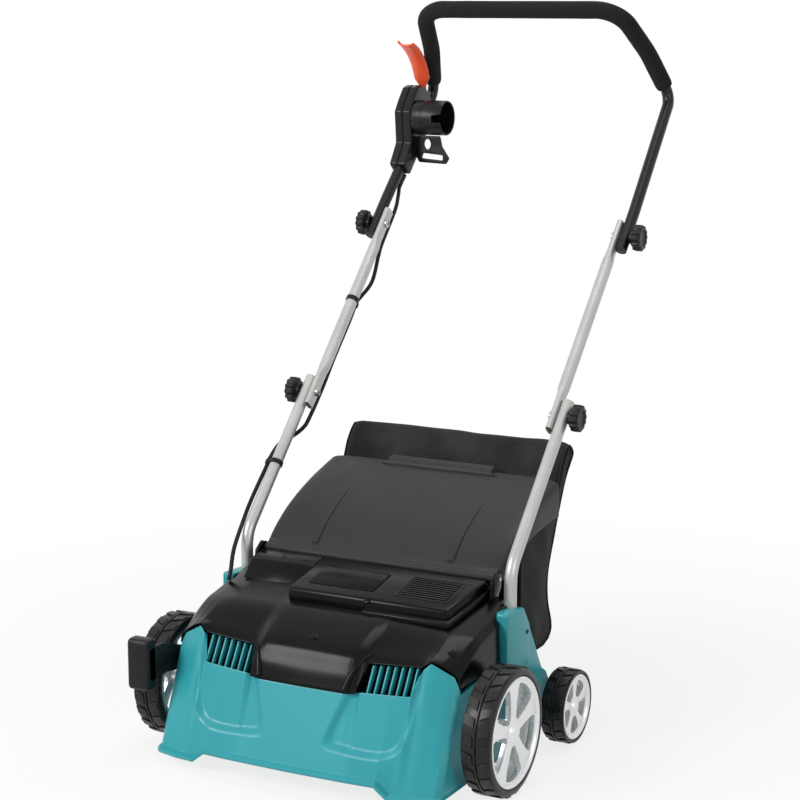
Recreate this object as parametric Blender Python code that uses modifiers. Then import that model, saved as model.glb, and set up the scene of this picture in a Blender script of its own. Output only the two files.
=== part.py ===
"""Electric lawn dethatcher with a bladed reel, a rear catcher bag and a folding handle.

Metres, +Z up. The machine faces -Y, its right-hand side in a front view is +X, and it stands
on its wheels at z = 0. Everything is placed from the front wheels' axle line (y = 0) and the
plane of symmetry (x = 0), and the finished machine is moved so that the origin lies under
the middle of its outline.
"""
import math

import bmesh
import bpy
from mathutils import Matrix, Vector

for old in list(bpy.data.objects):
    bpy.data.objects.remove(old, do_unlink=True)

# Fits
GAP = 0.0003            # between pieces that touch
PLAY = 0.0004           # radial, round shafts, pins and tubes
SEAM = 0.0045           # shadow gap under the motor cover's rim

# Wheels and axles
FRONT_WHEEL_R = 0.095
FRONT_WHEEL_W = 0.046
FRONT_RIM_R = 0.080
FRONT_TRACK = 0.598     # over the outer faces
REAR_WHEEL_R = 0.0575
REAR_WHEEL_W = 0.038
REAR_RIM_R = 0.0495
REAR_TRACK = 0.580
WHEELBASE = 0.241
AXLE_R = 0.005
HUB_R = 0.017

# Depth adjustment
CRANK_BACK = 0.026      # crank shaft behind and above the front wheels' axle
CRANK_UP = 0.022
ARM_T = 0.006
LEVER_REACH = 0.141     # crank shaft to the middle of the hand block
LEVER_BLOCK = (0.040, 0.026, 0.080)

# Deck
DECK_WALL = 0.005
DECK_SIDE_X = 0.2365
DECK_BOTTOM = 0.024
LIP_OUT = 0.009
LIP_DROP = 0.004
SLATS = 7
SLAT_T = 0.0028
UPRIGHT_T = 0.034
UPRIGHT_FRONT = 0.080

# Reel and drive
REEL_Y = 0.115
REEL_Z = 0.074
REEL_R = 0.064
REEL_HALF = 0.196
REEL_CLEAR = 0.007
REEL_BLADES = 11
BLADE_T = 0.0025
REEL_SHAFT_R = 0.008
SPACER_R = 0.0140
END_PLATE_X = 0.206
END_PLATE_T = 0.004
BEARING_R = 0.016
BEARING_W = 0.009
REEL_PULLEY_R = 0.022
MOTOR_PULLEY_R = 0.012
PULLEY_W = 0.012
BELT_T = 0.0025
MOTOR_Y = 0.002
MOTOR_Z = 0.172
MOTOR_R = 0.039
MOTOR_X = (-0.060, 0.105)
MOTOR_SHAFT_R = 0.005
FAN_R = 0.034

# Motor cover
COVER_WALL = 0.003
PLATEAU_Z = 0.250       # top of the raised blocks at the front axle line
PLATEAU_RISE = 0.20     # and its climb towards the rear
PLATEAU_FRONT = 0.017
BLOCK_DEPTH = 0.024
PLATEAU_REAR = 0.126

# Flap
FLAP_HALF = 0.205
FLAP_T = 0.003
FLAP_PIN_Y = 0.136
FLAP_PIN_Z = 0.2745
FLAP_PIN_R = 0.003
FLAP_BARREL_R = 0.0065
FLAP_LIP_W = 0.204

# Handle
TUBE_R = 0.0095
TUBE_WALL = 0.0014
TUBE_ROOM = (TUBE_R + GAP) / math.cos(math.pi / 12)
TUBE_X = 0.2285
SOCKET_Y = 0.126
SOCKET_BOTTOM = 0.150
LOWER_BOLT = (0.313, 0.491)
UPPER_BOLT = (0.553, 0.743)
TUBE_LAP = 0.027        # tube past the bolt
FLAT_T = 0.0102         # pressed ends of the middle tubes
FLAT_W = 0.0235
FLAT_LENGTH = 0.036
BOLT_R = 0.003
BOLT_ROOM = (BOLT_R + PLAY) / math.cos(math.pi / 8)
BOLT_HEAD_R = 0.0075
BOLT_HEAD_T = 0.0035
KNOB_R = 0.022
KNOB_T = 0.0155
KNOB_COLLAR_R = 0.011
KNOB_COLLAR_T = 0.006
KNOB_LOBES = 12
HANDLE_KNEE = 0.050     # above the upper bolts, where the loop starts to lean in
HANDLE_APEX = (0.2225, 0.757, 0.957)
HANDLE_MIDLEG = (0.2005, 0.706, 1.032)
HANDLE_CORNER = (0.178, 0.628, 1.102)
APEX_BEND = 0.026
MIDLEG_BEND = 0.120
CORNER_BEND = 0.050
LOWER_BEND = 0.055
GRIP_R = 0.0145
GRIP_START = 0.024      # along the leg from the apex

# Switch box
BOX_T = 0.031
BOX_X = -0.2265
SHROUD_R = 0.030
SHROUD_WALL = 0.0025
SHROUD_LENGTH = 0.058
SHROUD_Y = 0.672
SHROUD_Z = 0.917
LEVER_W = 0.030
LEVER_SHIFT = 0.006
LEVER_PIN_R = 0.002
LEVER_T = 0.003
SWITCH_PIVOT = (0.712, 0.950)
BUTTON = (0.676, 0.935)
BUTTON_R = 0.0075
BUTTON_SEAT = 0.004     # depth of the button's foot below the face
BUTTON_TRAVEL = 0.0025
HOOK_T = 0.004
CABLE_R = 0.0033
CLIP_LOWER = -0.140     # along the tube from the lower bolt
CLIP_MIDDLE = 0.186
CLIP_T = 0.0012

# Bag
BAG_HALF = 0.195
BAG_WALL = 0.003
BAG_MOUTH_Y = 0.2317

PARTS = bpy.data.collections.new("lawn_dethatcher")
bpy.context.scene.collection.children.link(PARTS)
ROOT = bpy.data.objects.new("machine_origin", None)
PARTS.objects.link(ROOT)

COLOURS = {
    "teal_plastic": ((0.040, 0.330, 0.360), 0.42, 0.0),
    "black_gloss": ((0.012, 0.012, 0.012), 0.18, 0.0),
    "grey_flap": ((0.050, 0.050, 0.047), 0.55, 0.0),
    "black_plastic": ((0.018, 0.018, 0.018), 0.45, 0.0),
    "silver_tube": ((0.520, 0.520, 0.500), 0.35, 0.9),
    "black_tube": ((0.015, 0.015, 0.015), 0.35, 0.2),
    "foam": ((0.020, 0.020, 0.020), 0.85, 0.0),
    "orange_lever": ((0.870, 0.070, 0.015), 0.40, 0.0),
    "tyre": ((0.020, 0.019, 0.018), 0.55, 0.0),
    "rim": ((0.580, 0.580, 0.570), 0.35, 0.3),
    "steel": ((0.450, 0.450, 0.440), 0.35, 1.0),
    "dark_steel": ((0.120, 0.120, 0.120), 0.45, 0.9),
    "motor": ((0.160, 0.160, 0.155), 0.50, 0.6),
    "bag_cloth": ((0.014, 0.014, 0.014), 0.85, 0.0),
    "badge": ((0.020, 0.020, 0.021), 0.12, 0.0),
    "rubber": ((0.016, 0.016, 0.016), 0.60, 0.0),
    "brass": ((0.620, 0.420, 0.140), 0.30, 1.0),
}


def material(name):
    if name in bpy.data.materials:
        return bpy.data.materials[name]
    colour, roughness, metallic = COLOURS[name]
    made = bpy.data.materials.new(name)
    made.use_nodes = True
    shader = made.node_tree.nodes["Principled BSDF"]
    shader.inputs["Base Color"].default_value = (*colour, 1.0)
    shader.inputs["Roughness"].default_value = roughness
    shader.inputs["Metallic"].default_value = metallic
    return made


def as_object(bm, name="piece"):
    mesh = bpy.data.meshes.new(name)
    bm.to_mesh(mesh)
    bm.free()
    obj = bpy.data.objects.new(name, mesh)
    PARTS.objects.link(obj)
    return obj


def applied(obj, weld=1e-5):
    """The object as its modifiers leave it, as one plain welded mesh."""
    evaluated = obj.evaluated_get(bpy.context.evaluated_depsgraph_get())
    mesh = bpy.data.meshes.new_from_object(evaluated)
    bm = bmesh.new()
    bm.from_mesh(mesh)
    bmesh.ops.transform(bm, matrix=obj.matrix_world, verts=bm.verts)
    bmesh.ops.remove_doubles(bm, verts=bm.verts, dist=weld)
    bpy.data.objects.remove(obj, do_unlink=True)
    return as_object(bm)


def outward(obj):
    """Faces of a closed piece turned outwards."""
    bm = bmesh.new()
    bm.from_mesh(obj.data)
    bmesh.ops.recalc_face_normals(bm, faces=bm.faces)
    bm.to_mesh(obj.data)
    bm.free()
    return obj


def boolean(obj, tools, operation):
    for tool in tools:
        step = obj.modifiers.new("boolean", "BOOLEAN")
        step.operation = operation
        step.object = tool
        bpy.context.view_layer.update()
        obj = applied(obj)
        bpy.data.objects.remove(tool, do_unlink=True)
    return obj


def cut(obj, *tools):
    return boolean(obj, tools, "DIFFERENCE")


def union(obj, *tools):
    return boolean(obj, tools, "UNION")


def bevelled(obj, width, segments=2, angle=35.0):
    step = obj.modifiers.new("bevel", "BEVEL")
    step.width = width
    step.segments = segments
    step.limit_method = "ANGLE"
    step.angle_limit = math.radians(angle)
    bpy.context.view_layer.update()
    return applied(obj)


def shell(obj, thickness, offset=-1.0):
    step = obj.modifiers.new("shell", "SOLIDIFY")
    step.thickness = thickness
    step.offset = offset
    step.use_even_offset = True
    bpy.context.view_layer.update()
    return outward(applied(obj))


def box(low, high):
    bm = bmesh.new()
    bmesh.ops.create_cube(bm, size=1.0)
    low = Vector(low)
    size = Vector(high) - low
    for vert in bm.verts:
        vert.co = Vector([low[k] + (vert.co[k] + 0.5) * size[k] for k in range(3)])
    return as_object(bm)


def cylinder(radius, start, end, sides=24, end_radius=None):
    start = Vector(start)
    end = Vector(end)
    run = end - start
    bm = bmesh.new()
    bmesh.ops.create_cone(bm, cap_ends=True, segments=sides, radius1=radius,
                          radius2=radius if end_radius is None else end_radius, depth=run.length)
    turn = run.to_track_quat("Z", "Y").to_matrix().to_4x4()
    bmesh.ops.transform(bm, matrix=Matrix.Translation((start + end) / 2) @ turn, verts=bm.verts)
    return as_object(bm)


# An outline's own axes and its thickness, for plates square to X, Y and Z.
SQUARE_TO = {
    "X": Matrix(((0, 0, 1), (1, 0, 0), (0, 1, 0))),
    "Y": Matrix(((1, 0, 0), (0, 0, -1), (0, 1, 0))),
    "Z": Matrix(((1, 0, 0), (0, 1, 0), (0, 0, 1))),
}


def plate(outline, thickness, square_to, middle, holes=()):
    """Flat outline of the given thickness, square to an axis, with its mid-plane at middle."""
    curve = bpy.data.curves.new("outline", "CURVE")
    curve.dimensions = "2D"
    curve.fill_mode = "BOTH"
    curve.extrude = thickness / 2
    for loop in (outline, *holes):
        spline = curve.splines.new("POLY")
        spline.points.add(len(loop) - 1)
        spline.use_cyclic_u = True
        for point, (u, v) in zip(spline.points, loop):
            point.co = (u, v, 0, 1)
    obj = bpy.data.objects.new("plate", curve)
    PARTS.objects.link(obj)
    shift = Vector([middle if axis == square_to else 0 for axis in "XYZ"])
    obj.matrix_world = Matrix.Translation(shift) @ SQUARE_TO[square_to].to_4x4()
    bpy.context.view_layer.update()
    return outward(applied(obj))


def arc(centre, radius, start, end, steps):
    return [(centre[0] + radius * math.cos(math.radians(start + (end - start) * k / steps)),
             centre[1] + radius * math.sin(math.radians(start + (end - start) * k / steps)))
            for k in range(steps + 1)]


def circle(centre, radius, steps=24):
    return arc(centre, radius, 0, 360 - 360 / steps, steps - 1)


def bent(points, radii, steps=5):
    """A route with its inner corners turned into arcs of the given radii."""
    points = [Vector(p) for p in points]
    route = [points[0]]
    for before, corner, after, radius in zip(points, points[1:], points[2:], radii):
        back = (before - corner).normalized()
        ahead = (after - corner).normalized()
        half = back.angle(ahead) / 2
        centre = corner + (back + ahead).normalized() * (radius / math.sin(half))
        first = corner + back * (radius / math.tan(half)) - centre
        last = corner + ahead * (radius / math.tan(half)) - centre
        sweep = first.angle(last)
        count = min(steps, max(1 if steps > 2 else 2, round(sweep / 0.3)))
        for k in range(count + 1):
            t = k / count
            turn = first * math.sin((1 - t) * sweep) + last * math.sin(t * sweep)
            route.append(centre + turn / math.sin(sweep))
    route.append(points[-1])
    return route


def rounded(corners, radius, steps=2):
    """A closed outline with every corner turned into an arc."""
    ring = [Vector((*c, 0)) for c in (corners[-1], *corners, corners[0])]
    return [(p.x, p.y) for p in bent(ring, [radius] * len(corners), steps)[1:-1]]


def smooth(points, spacing):
    """Points along a smooth curve through a route's own points."""
    points = [Vector(p) for p in points]
    ends = [2 * points[0] - points[1], *points, 2 * points[-1] - points[-2]]
    route = []
    for a, b, c, d in zip(ends, ends[1:], ends[2:], ends[3:]):
        count = max(1, round((c - b).length / spacing))
        for k in range(count):
            t = k / count
            route.append(0.5 * (2 * b + (c - a) * t + (2 * a - 5 * b + 4 * c - d) * t * t
                                + (3 * b - a - 3 * c + d) * t ** 3))
    return [*route, points[-1]]


def rod(route, radius, resolution=4, closed=False, capped=True):
    """Round bar along a route."""
    curve = bpy.data.curves.new("route", "CURVE")
    curve.dimensions = "3D"
    curve.bevel_depth = radius
    curve.bevel_resolution = resolution
    curve.use_fill_caps = capped and not closed
    spline = curve.splines.new("POLY")
    spline.points.add(len(route) - 1)
    spline.use_cyclic_u = closed
    for point, place in zip(spline.points, route):
        point.co = (*place, 1)
    obj = bpy.data.objects.new("rod", curve)
    PARTS.objects.link(obj)
    bpy.context.view_layer.update()
    return outward(applied(obj)) if capped else applied(obj)


def tube(route, radius, wall, resolution=4):
    """Round tube along a route, open at both ends."""
    return shell(rod(route, radius, resolution, capped=False), wall)


def turned(profile, start, direction, steps=32, closed=True):
    """Profile of (radius, height) points turned about a line."""
    bm = bmesh.new()
    verts = [bm.verts.new((radius, 0, height)) for radius, height in profile]
    for a, b in zip(verts, verts[1:]):
        bm.edges.new((a, b))
    if closed:
        bm.edges.new((verts[-1], verts[0]))
    obj = as_object(bm)
    step = obj.modifiers.new("turn", "SCREW")
    step.steps = steps
    step.render_steps = steps
    step.use_merge_vertices = True
    step.merge_threshold = 0.00001
    obj.matrix_world = (Matrix.Translation(Vector(start))
                        @ Vector(direction).to_track_quat("Z", "Y").to_matrix().to_4x4())
    bpy.context.view_layer.update()
    return outward(applied(obj))


def skin(rows):
    """Open surface over rows of points."""
    bm = bmesh.new()
    grid = [[bm.verts.new(p) for p in row] for row in rows]
    for low, high in zip(grid, grid[1:]):
        for a, b, c, d in zip(low, low[1:], high[1:], high):
            bm.faces.new((a, d, c, b))
    return as_object(bm)


def mirrored(obj):
    step = obj.modifiers.new("mirror", "MIRROR")
    step.use_axis = (True, False, False)
    step.merge_threshold = 0.0001
    step.use_clip = True
    bpy.context.view_layer.update()
    return applied(obj)


def flipped(obj):
    """A mirror image across the plane of symmetry."""
    bm = bmesh.new()
    bm.from_mesh(obj.data)
    bmesh.ops.scale(bm, vec=(-1, 1, 1), verts=bm.verts)
    bmesh.ops.reverse_faces(bm, faces=bm.faces)
    return as_object(bm)


def finish(obj, name, slot, pivot=(0, 0, 0), sharp=35.0):
    """Name, colour and origin of a finished piece."""
    obj.name = name
    obj.data.name = name
    obj.data.materials.clear()
    obj.data.materials.append(material(slot))
    pivot = Vector(pivot)
    obj.data.transform(Matrix.Translation(-pivot))
    obj.location = pivot
    obj.parent = ROOT
    obj.data.shade_smooth()
    obj.data.set_sharp_from_angle(angle=math.radians(sharp))
    return obj


FRONT_AXLE = Vector((0, 0, FRONT_WHEEL_R))
REAR_AXLE = Vector((0, WHEELBASE, REAR_WHEEL_R))
CRANK = FRONT_AXLE + Vector((0, CRANK_BACK, CRANK_UP))
REEL = Vector((0, REEL_Y, REEL_Z))
MOTOR = Vector((0, MOTOR_Y, MOTOR_Z))
FLAP_PIN = Vector((0, FLAP_PIN_Y, FLAP_PIN_Z))
X = Vector((1, 0, 0))
TUNNEL_R = REEL_R + REEL_CLEAR


def plateau_z(y):
    return PLATEAU_Z + PLATEAU_RISE * y


# Motor cover: its rim rests on the deck's walls, so both are drawn from these stations.
# Each station is a row of (y, z) points from the front rim over the top to the rear edge.
COVER_STATIONS = (
    (0.000, ((-0.0985, 0.1505), (-0.085, 0.178), (-0.066, 0.2035), (-0.010, 0.2300),
             (0.035, 0.2385), (0.130, 0.2580))),
    (0.076, ((-0.0970, 0.1505), (-0.084, 0.178), (-0.065, 0.2030), (-0.010, 0.2295),
             (0.035, 0.2380), (0.130, 0.2575))),
    (0.088, ((-0.0945, 0.1515), (-0.080, 0.178), (-0.062, 0.1990), (-0.009, 0.2285),
             (0.035, 0.2375), (0.130, 0.2570))),
    (0.096, ((-0.0680, 0.1875), (-0.060, 0.195), (-0.046, 0.2040), (-0.008, 0.2275),
             (0.035, 0.2370), (0.130, 0.2565))),
    (0.180, ((-0.0650, 0.1930), (-0.057, 0.200), (-0.044, 0.2075), (-0.006, 0.2260),
             (0.036, 0.2350), (0.130, 0.2540))),
    (0.194, ((-0.0620, 0.2040), (-0.055, 0.2068), (-0.042, 0.2108), (-0.004, 0.2250),
             (0.037, 0.2335), (0.130, 0.2520))),
    (0.226, ((-0.0530, 0.1860), (-0.046, 0.1910), (-0.034, 0.1990), (0.002, 0.2190),
             (0.040, 0.2275), (0.130, 0.2450))),
    (0.2345, ((-0.0530, 0.1790), (-0.046, 0.1830), (-0.033, 0.1900), (0.004, 0.2100),
              (0.041, 0.2185), (0.130, 0.2360))),
    (DECK_SIDE_X, ((-0.0535, 0.1660), (-0.045, 0.1660), (-0.030, 0.1665), (0.005, 0.1670),
                   (0.041, 0.1680), (0.130, 0.1700))),
)


def motor_cover():
    rows = [[(x, y, z) for y, z in row] for x, row in COVER_STATIONS]
    cover = shell(mirrored(skin(rows)), COVER_WALL)
    blocks = []
    # Middle and right-hand block, one step lower along its right front edge.
    for left, right, rear_right, front, drop in ((-0.090, 0.180, 0.193, PLATEAU_FRONT, 0.0),
                                                 (0.042, 0.187, 0.200, 0.006, 0.013)):
        block = plate([(left, front), (right, front), (rear_right, PLATEAU_REAR), (left, PLATEAU_REAR)],
                      0.1, "Z", 0)
        for vert in block.data.vertices:
            vert.co.z = plateau_z(vert.co.y) - (drop if vert.co.z > 0 else BLOCK_DEPTH)
        blocks.append(bevelled(block, 0.003, 1))
    # Left-hand block with its sloping front.
    side = [(0.064, plateau_z(0.064) - BLOCK_DEPTH), (0.090, plateau_z(0.090)),
            (PLATEAU_REAR, plateau_z(PLATEAU_REAR)), (PLATEAU_REAR, plateau_z(PLATEAU_REAR) - BLOCK_DEPTH)]
    blocks.append(bevelled(plate(side, 0.112, "X", -0.144), 0.003, 1))
    cover = union(cover, *blocks)
    # Hollow under the raised blocks.
    for left, right in ((-0.086, 0.178), (-0.196, -0.090)):
        front = PLATEAU_FRONT + 0.004 if left > -0.1 else 0.090
        hollow = [(front, plateau_z(front) - 0.030), (front, plateau_z(front) - COVER_WALL),
                  (PLATEAU_REAR - COVER_WALL, plateau_z(PLATEAU_REAR) - COVER_WALL - 0.0006),
                  (PLATEAU_REAR - COVER_WALL, plateau_z(PLATEAU_REAR) - 0.030)]
        cover = cut(cover, plate(hollow, right - left, "X", (left + right) / 2))
    # Air grille over the motor.
    grille_x = (0.086, 0.163)
    for k in range(8):
        y = 0.046 + 0.0068 * k
        cover = cut(cover, box((grille_x[0], y, plateau_z(y) - 0.012), (grille_x[1], y + 0.0034, 0.300)))
    # Room for the deck's tube sockets.
    for side in (-1, 1):
        x = sorted((side * (TUBE_X - UPRIGHT_T / 2 - 0.0015), side * 0.30))
        cover = cut(cover, box((x[0], UPRIGHT_FRONT - 0.001, 0.10), (x[1], 0.20, 0.40)))
    # Ears that carry the flap's pin.
    for side in (-1, 1):
        outline = rounded([(0.108, 0.2452), (0.114, 0.274), (0.130, 0.2850), (0.1425, 0.2815),
                           (0.1425, 0.262), (0.128, 0.2452)], 0.004)
        ear = plate(outline, 0.006, "X", side * 0.2035)
        cover = union(cover, ear)
    pin_room = FLAP_PIN_R + PLAY
    cover = cut(cover, cylinder(pin_room, FLAP_PIN - 0.3 * X, FLAP_PIN + 0.3 * X))
    # Recess for the badge plate, and screw heads that stand on the cover.
    badge = (-0.066, 0.044, 0.040, 0.098)
    lift = 0.0012
    for grow, name in ((0.0006, None), (0.0, "badge_plate")):
        slab = box((badge[0] - grow, badge[2] - grow, 0), (badge[1] + grow, badge[3] + grow, 0.1))
        for vert in slab.data.vertices:
            under = -lift if grow else GAP - lift
            vert.co.z = plateau_z(vert.co.y) + (0.0006 if vert.co.z > 0.05 else under)
        if name:
            finish(slab, name, "badge")
        else:
            cover = cut(cover, slab)
    finish(cover, "motor_cover", "black_gloss")
    for name, x, y in (("cover_screw_left", -0.150, 0.108), ("cover_screw_right", 0.172, 0.106)):
        foot = Vector((x, y, plateau_z(y) + GAP))
        tilt = Vector((0, -PLATEAU_RISE, 1)).normalized()
        dome = [(0, 0.0022), (0.0026, 0.0020), (0.0040, 0.0008), (0.0042, 0), (0, 0)]
        head = turned(dome, foot, tilt, 12, closed=False)
        finish(head, name, "dark_steel")


def deck_housing():
    def under_cover(x, index=0, seam=SEAM):
        y, z = dict(COVER_STATIONS)[x][index]
        return (x, y, z - seam)

    corner_x = 0.2345
    walls = [
        ((0.000, -0.1370, 0.040), under_cover(0.000)),
        ((0.088, -0.1355, 0.040), under_cover(0.088)),
        ((0.096, -0.1352, 0.040), (0.096, -0.0995, 0.1500)),
        ((0.1425, -0.1326, 0.040), (0.1425, -0.0965, 0.1525)),
        ((0.1625, -0.1310, DECK_BOTTOM), (0.1625, -0.0950, 0.1535)),
        ((0.174, -0.1300, DECK_BOTTOM), (0.174, -0.0940, 0.1545)),
        ((0.184, -0.1290, DECK_BOTTOM), (0.184, -0.0670, 0.1900)),
        ((0.194, -0.1280, DECK_BOTTOM), under_cover(0.194)),
        ((0.228, -0.1200, DECK_BOTTOM), under_cover(0.226)),
        ((0.2355, -0.1100, DECK_BOTTOM), under_cover(corner_x, 0, 3 * SEAM)),
        ((DECK_SIDE_X, -0.0900, DECK_BOTTOM), under_cover(DECK_SIDE_X, 0, 2 * SEAM)),
        ((DECK_SIDE_X, 0.0050, DECK_BOTTOM), under_cover(DECK_SIDE_X, 3)),
        ((DECK_SIDE_X, 0.0790, DECK_BOTTOM), (DECK_SIDE_X, 0.079, 0.1660)),
        ((DECK_SIDE_X, 0.1400, DECK_BOTTOM), (DECK_SIDE_X, 0.140, 0.2200)),
        ((DECK_SIDE_X, 0.2080, 0.034), (DECK_SIDE_X, 0.208, 0.1220)),
        ((DECK_SIDE_X, 0.2320, 0.040), (DECK_SIDE_X, 0.232, 0.0960)),
    ]
    rows = []
    for low, high in walls:
        front = min(1.0, max(0.0, (-low[1] - 0.085) / 0.03))
        lip = (low[0] + 0.002, low[1] - LIP_OUT * front - 0.0005, low[2] - LIP_DROP)
        if low[0] == 0:
            lip = (0, *lip[1:])
        rows.append([lip, low, high])
    deck = shell(mirrored(skin(rows)), DECK_WALL)
    # Notches at the front corners, under the cover's own corners.
    for side in (-1, 1):
        x = sorted((side * 0.2295, side * 0.250))
        deck = cut(deck, box((x[0], -0.070, 0.1590), (x[1], -0.044, 0.200)))
    # Motor floor, reel tunnel and the front wall of the discharge chute, across the deck.
    half = END_PLATE_X
    tunnel = [(REEL_Y + TUNNEL_R * math.cos(math.radians(a)), REEL_Z + TUNNEL_R * math.sin(math.radians(a)))
              for a in range(208, 103, -21)]
    sheet_t = 0.0035
    chute = shell(skin([[(x, y, z) for y, z in [*tunnel, (0.110, 0.225), (0.114, 0.2415)]]
                        for x in (-half, half)]), sheet_t, 1.0)
    # The floor's front edge ends inside the leaning walls.
    edge = [(0.172, -0.100), (0.184, -0.088), (0.194, -0.0865), (0.226, -0.074),
            (DECK_SIDE_X - 0.002, -0.064), (DECK_SIDE_X - 0.002, 0.064)]
    floor = plate(edge + [(-x, y) for x, y in reversed(edge)], sheet_t, "Z", 0.1255 + sheet_t / 2)
    floor = cut(floor, box((-0.30, -0.03, 0.10), (-half + END_PLATE_T, 0.08, 0.14)))
    ramp = shell(skin([[(x, y, z) for y, z in ((REEL_Y + TUNNEL_R, 0.046), (REEL_Y + TUNNEL_R + 0.006, 0.075),
                                               (0.222, 0.1235), (0.2335, 0.1250))]
                       for x in (-half, half)]), sheet_t, -1.0)
    deck = union(deck, floor, chute, ramp)
    # End plates of the tunnel, which carry the reel's bearings.
    for side in (-1, 1):
        outline = [(0.040, DECK_BOTTOM + 0.004), (0.040, 0.128), (0.060, 0.150), (0.104, 0.236),
                   (0.116, 0.2425), (0.150, 0.222), (0.230, 0.125), (0.230, 0.046),
                   (0.200, DECK_BOTTOM + 0.008)]
        deck = union(deck, plate(outline, END_PLATE_T, "X", side * END_PLATE_X))
        boss = cylinder(BEARING_R + 0.004, REEL + side * END_PLATE_X * X,
                        REEL + side * (END_PLATE_X + BEARING_W) * X, 16)
        deck = union(deck, boss)
    # Tube sockets and the sloping rear cheeks.
    for side in (-1, 1):
        outline = rounded([(UPRIGHT_FRONT, 0.152), (UPRIGHT_FRONT, 0.2405), (0.138, 0.2365), (0.160, 0.205),
                           (0.160, 0.118), (0.118, 0.118)], 0.006)
        deck = union(deck, plate(outline, UPRIGHT_T, "X", side * TUBE_X))
        cheek = rounded([(0.120, 0.060), (0.120, 0.2200), (0.142, 0.2330), (0.2078, 0.124), (0.2240, 0.114),
                         (0.2345, 0.098), (0.2345, 0.046)], 0.004)
        cheek_x = TUBE_X + UPRIGHT_T / 2 - 0.0057
        deck = union(deck, plate(cheek, 0.010, "X", side * cheek_x))
        hanger = cylinder(AXLE_R + 0.008, REAR_AXLE + side * (cheek_x - 0.0045) * X,
                          REAR_AXLE + side * (cheek_x + 0.0045) * X, 16)
        deck = union(deck, hanger)
    # Louvre slats beside the nose.
    for side in (-1, 1):
        for k in range(SLATS):
            x = 0.103 + (0.172 - 0.103) * k / (SLATS - 1)
            y = -0.0992 + 0.0052 * k / (SLATS - 1)
            top = 0.1800 + 0.0060 * k / (SLATS - 1)
            slat = [(y, 0.140), (y + 0.0115, 0.140), (-0.0520, top), (-0.0650, top)]
            deck = union(deck, plate(slat, SLAT_T, "X", side * x))
        x = sorted((side * 0.092, side * 0.190))
        rail = box((x[0], -0.0585, 0.1280), (x[1], -0.0535, 0.1780))
        deck = union(deck, rail)
    # Bores: tubes, reel bearings, crank shaft, rear axle.
    for side in (-1, 1):
        deck = cut(deck, cylinder(TUBE_ROOM, (side * TUBE_X, SOCKET_Y, SOCKET_BOTTOM - GAP),
                                  (side * TUBE_X, SOCKET_Y, 0.30), 12))
        deck = cut(deck, cylinder(BEARING_R + GAP, REEL + side * (END_PLATE_X - 0.02) * X,
                                  REEL + side * (END_PLATE_X + BEARING_W + 0.01) * X, 16))
    deck = cut(deck, cylinder(AXLE_R + PLAY, CRANK - 0.4 * X, CRANK + 0.4 * X, 16))
    deck = cut(deck, cylinder(AXLE_R + PLAY, REAR_AXLE - 0.4 * X, REAR_AXLE + 0.4 * X, 16))
    return finish(deck, "deck_housing", "teal_plastic")


def wheel(name, centre, side, radius, width, rim_r):
    """Tyre with a raised middle rib, and a five-spoke rim with its hub."""
    out = Vector((side, 0, 0))
    outer = Vector(centre)
    half = width / 2
    middle = outer - out * half
    seat = rim_r - 0.004
    shoulder = radius - 0.25 * (radius - rim_r)
    tread = [(seat + GAP, -half + 0.003), (rim_r + 0.0045, -half), (shoulder, -half + 0.0005),
             (radius, -half + 0.007), (radius, half - 0.007), (shoulder, half - 0.0005),
             (rim_r + 0.0045, half), (rim_r + 0.0015, half - 0.0040), (seat + GAP, half - 0.0052)]
    tyre = turned(tread, middle, out, 24)
    finish(tyre, name + "_tyre", "tyre", centre)
    band = [(rim_r - 0.010, -half + 0.004), (seat, -half + 0.0035), (seat, half - 0.0048),
            (rim_r + 0.0008, half - 0.003), (rim_r - 0.001, half + 0.0005), (rim_r - 0.006, half - 0.001)]
    rim = turned(band, middle, out, 24)
    bore = (AXLE_R + PLAY) / math.cos(math.pi / 10)
    hub = turned([(0, half + 0.0005), (HUB_R - 0.006, half - 0.001), (HUB_R - 0.002, half - 0.004),
                  (HUB_R, half - 0.010), (HUB_R, -half + 0.001), (bore, -half + 0.001), (bore, half - 0.0045),
                  (0, half - 0.0045)], middle, out, 10, closed=False)
    rim = union(rim, hub)
    for k in range(5):
        turn = math.radians(90 + 72 * k)
        along = Vector((0, math.cos(turn), math.sin(turn)))
        across = Vector((0, -math.sin(turn), math.cos(turn)))
        reach = rim_r - 0.007
        spoke = []
        for r, w in ((HUB_R - 0.003, 0.26 * HUB_R + 0.004), (0.6 * reach, 0.0085), (reach, 0.24 * reach)):
            spoke.append((r, w))
        outline = [(r, w) for r, w in spoke] + [(r, -w) for r, w in reversed(spoke)]
        points = [(middle + along * r + across * w) for r, w in outline]
        piece = plate([(p.y, p.z) for p in points], 0.010, "X", middle.x + side * (half - 0.012))
        rim = union(rim, piece)
    finish(rim, name + "_rim", "rim", centre)


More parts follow.
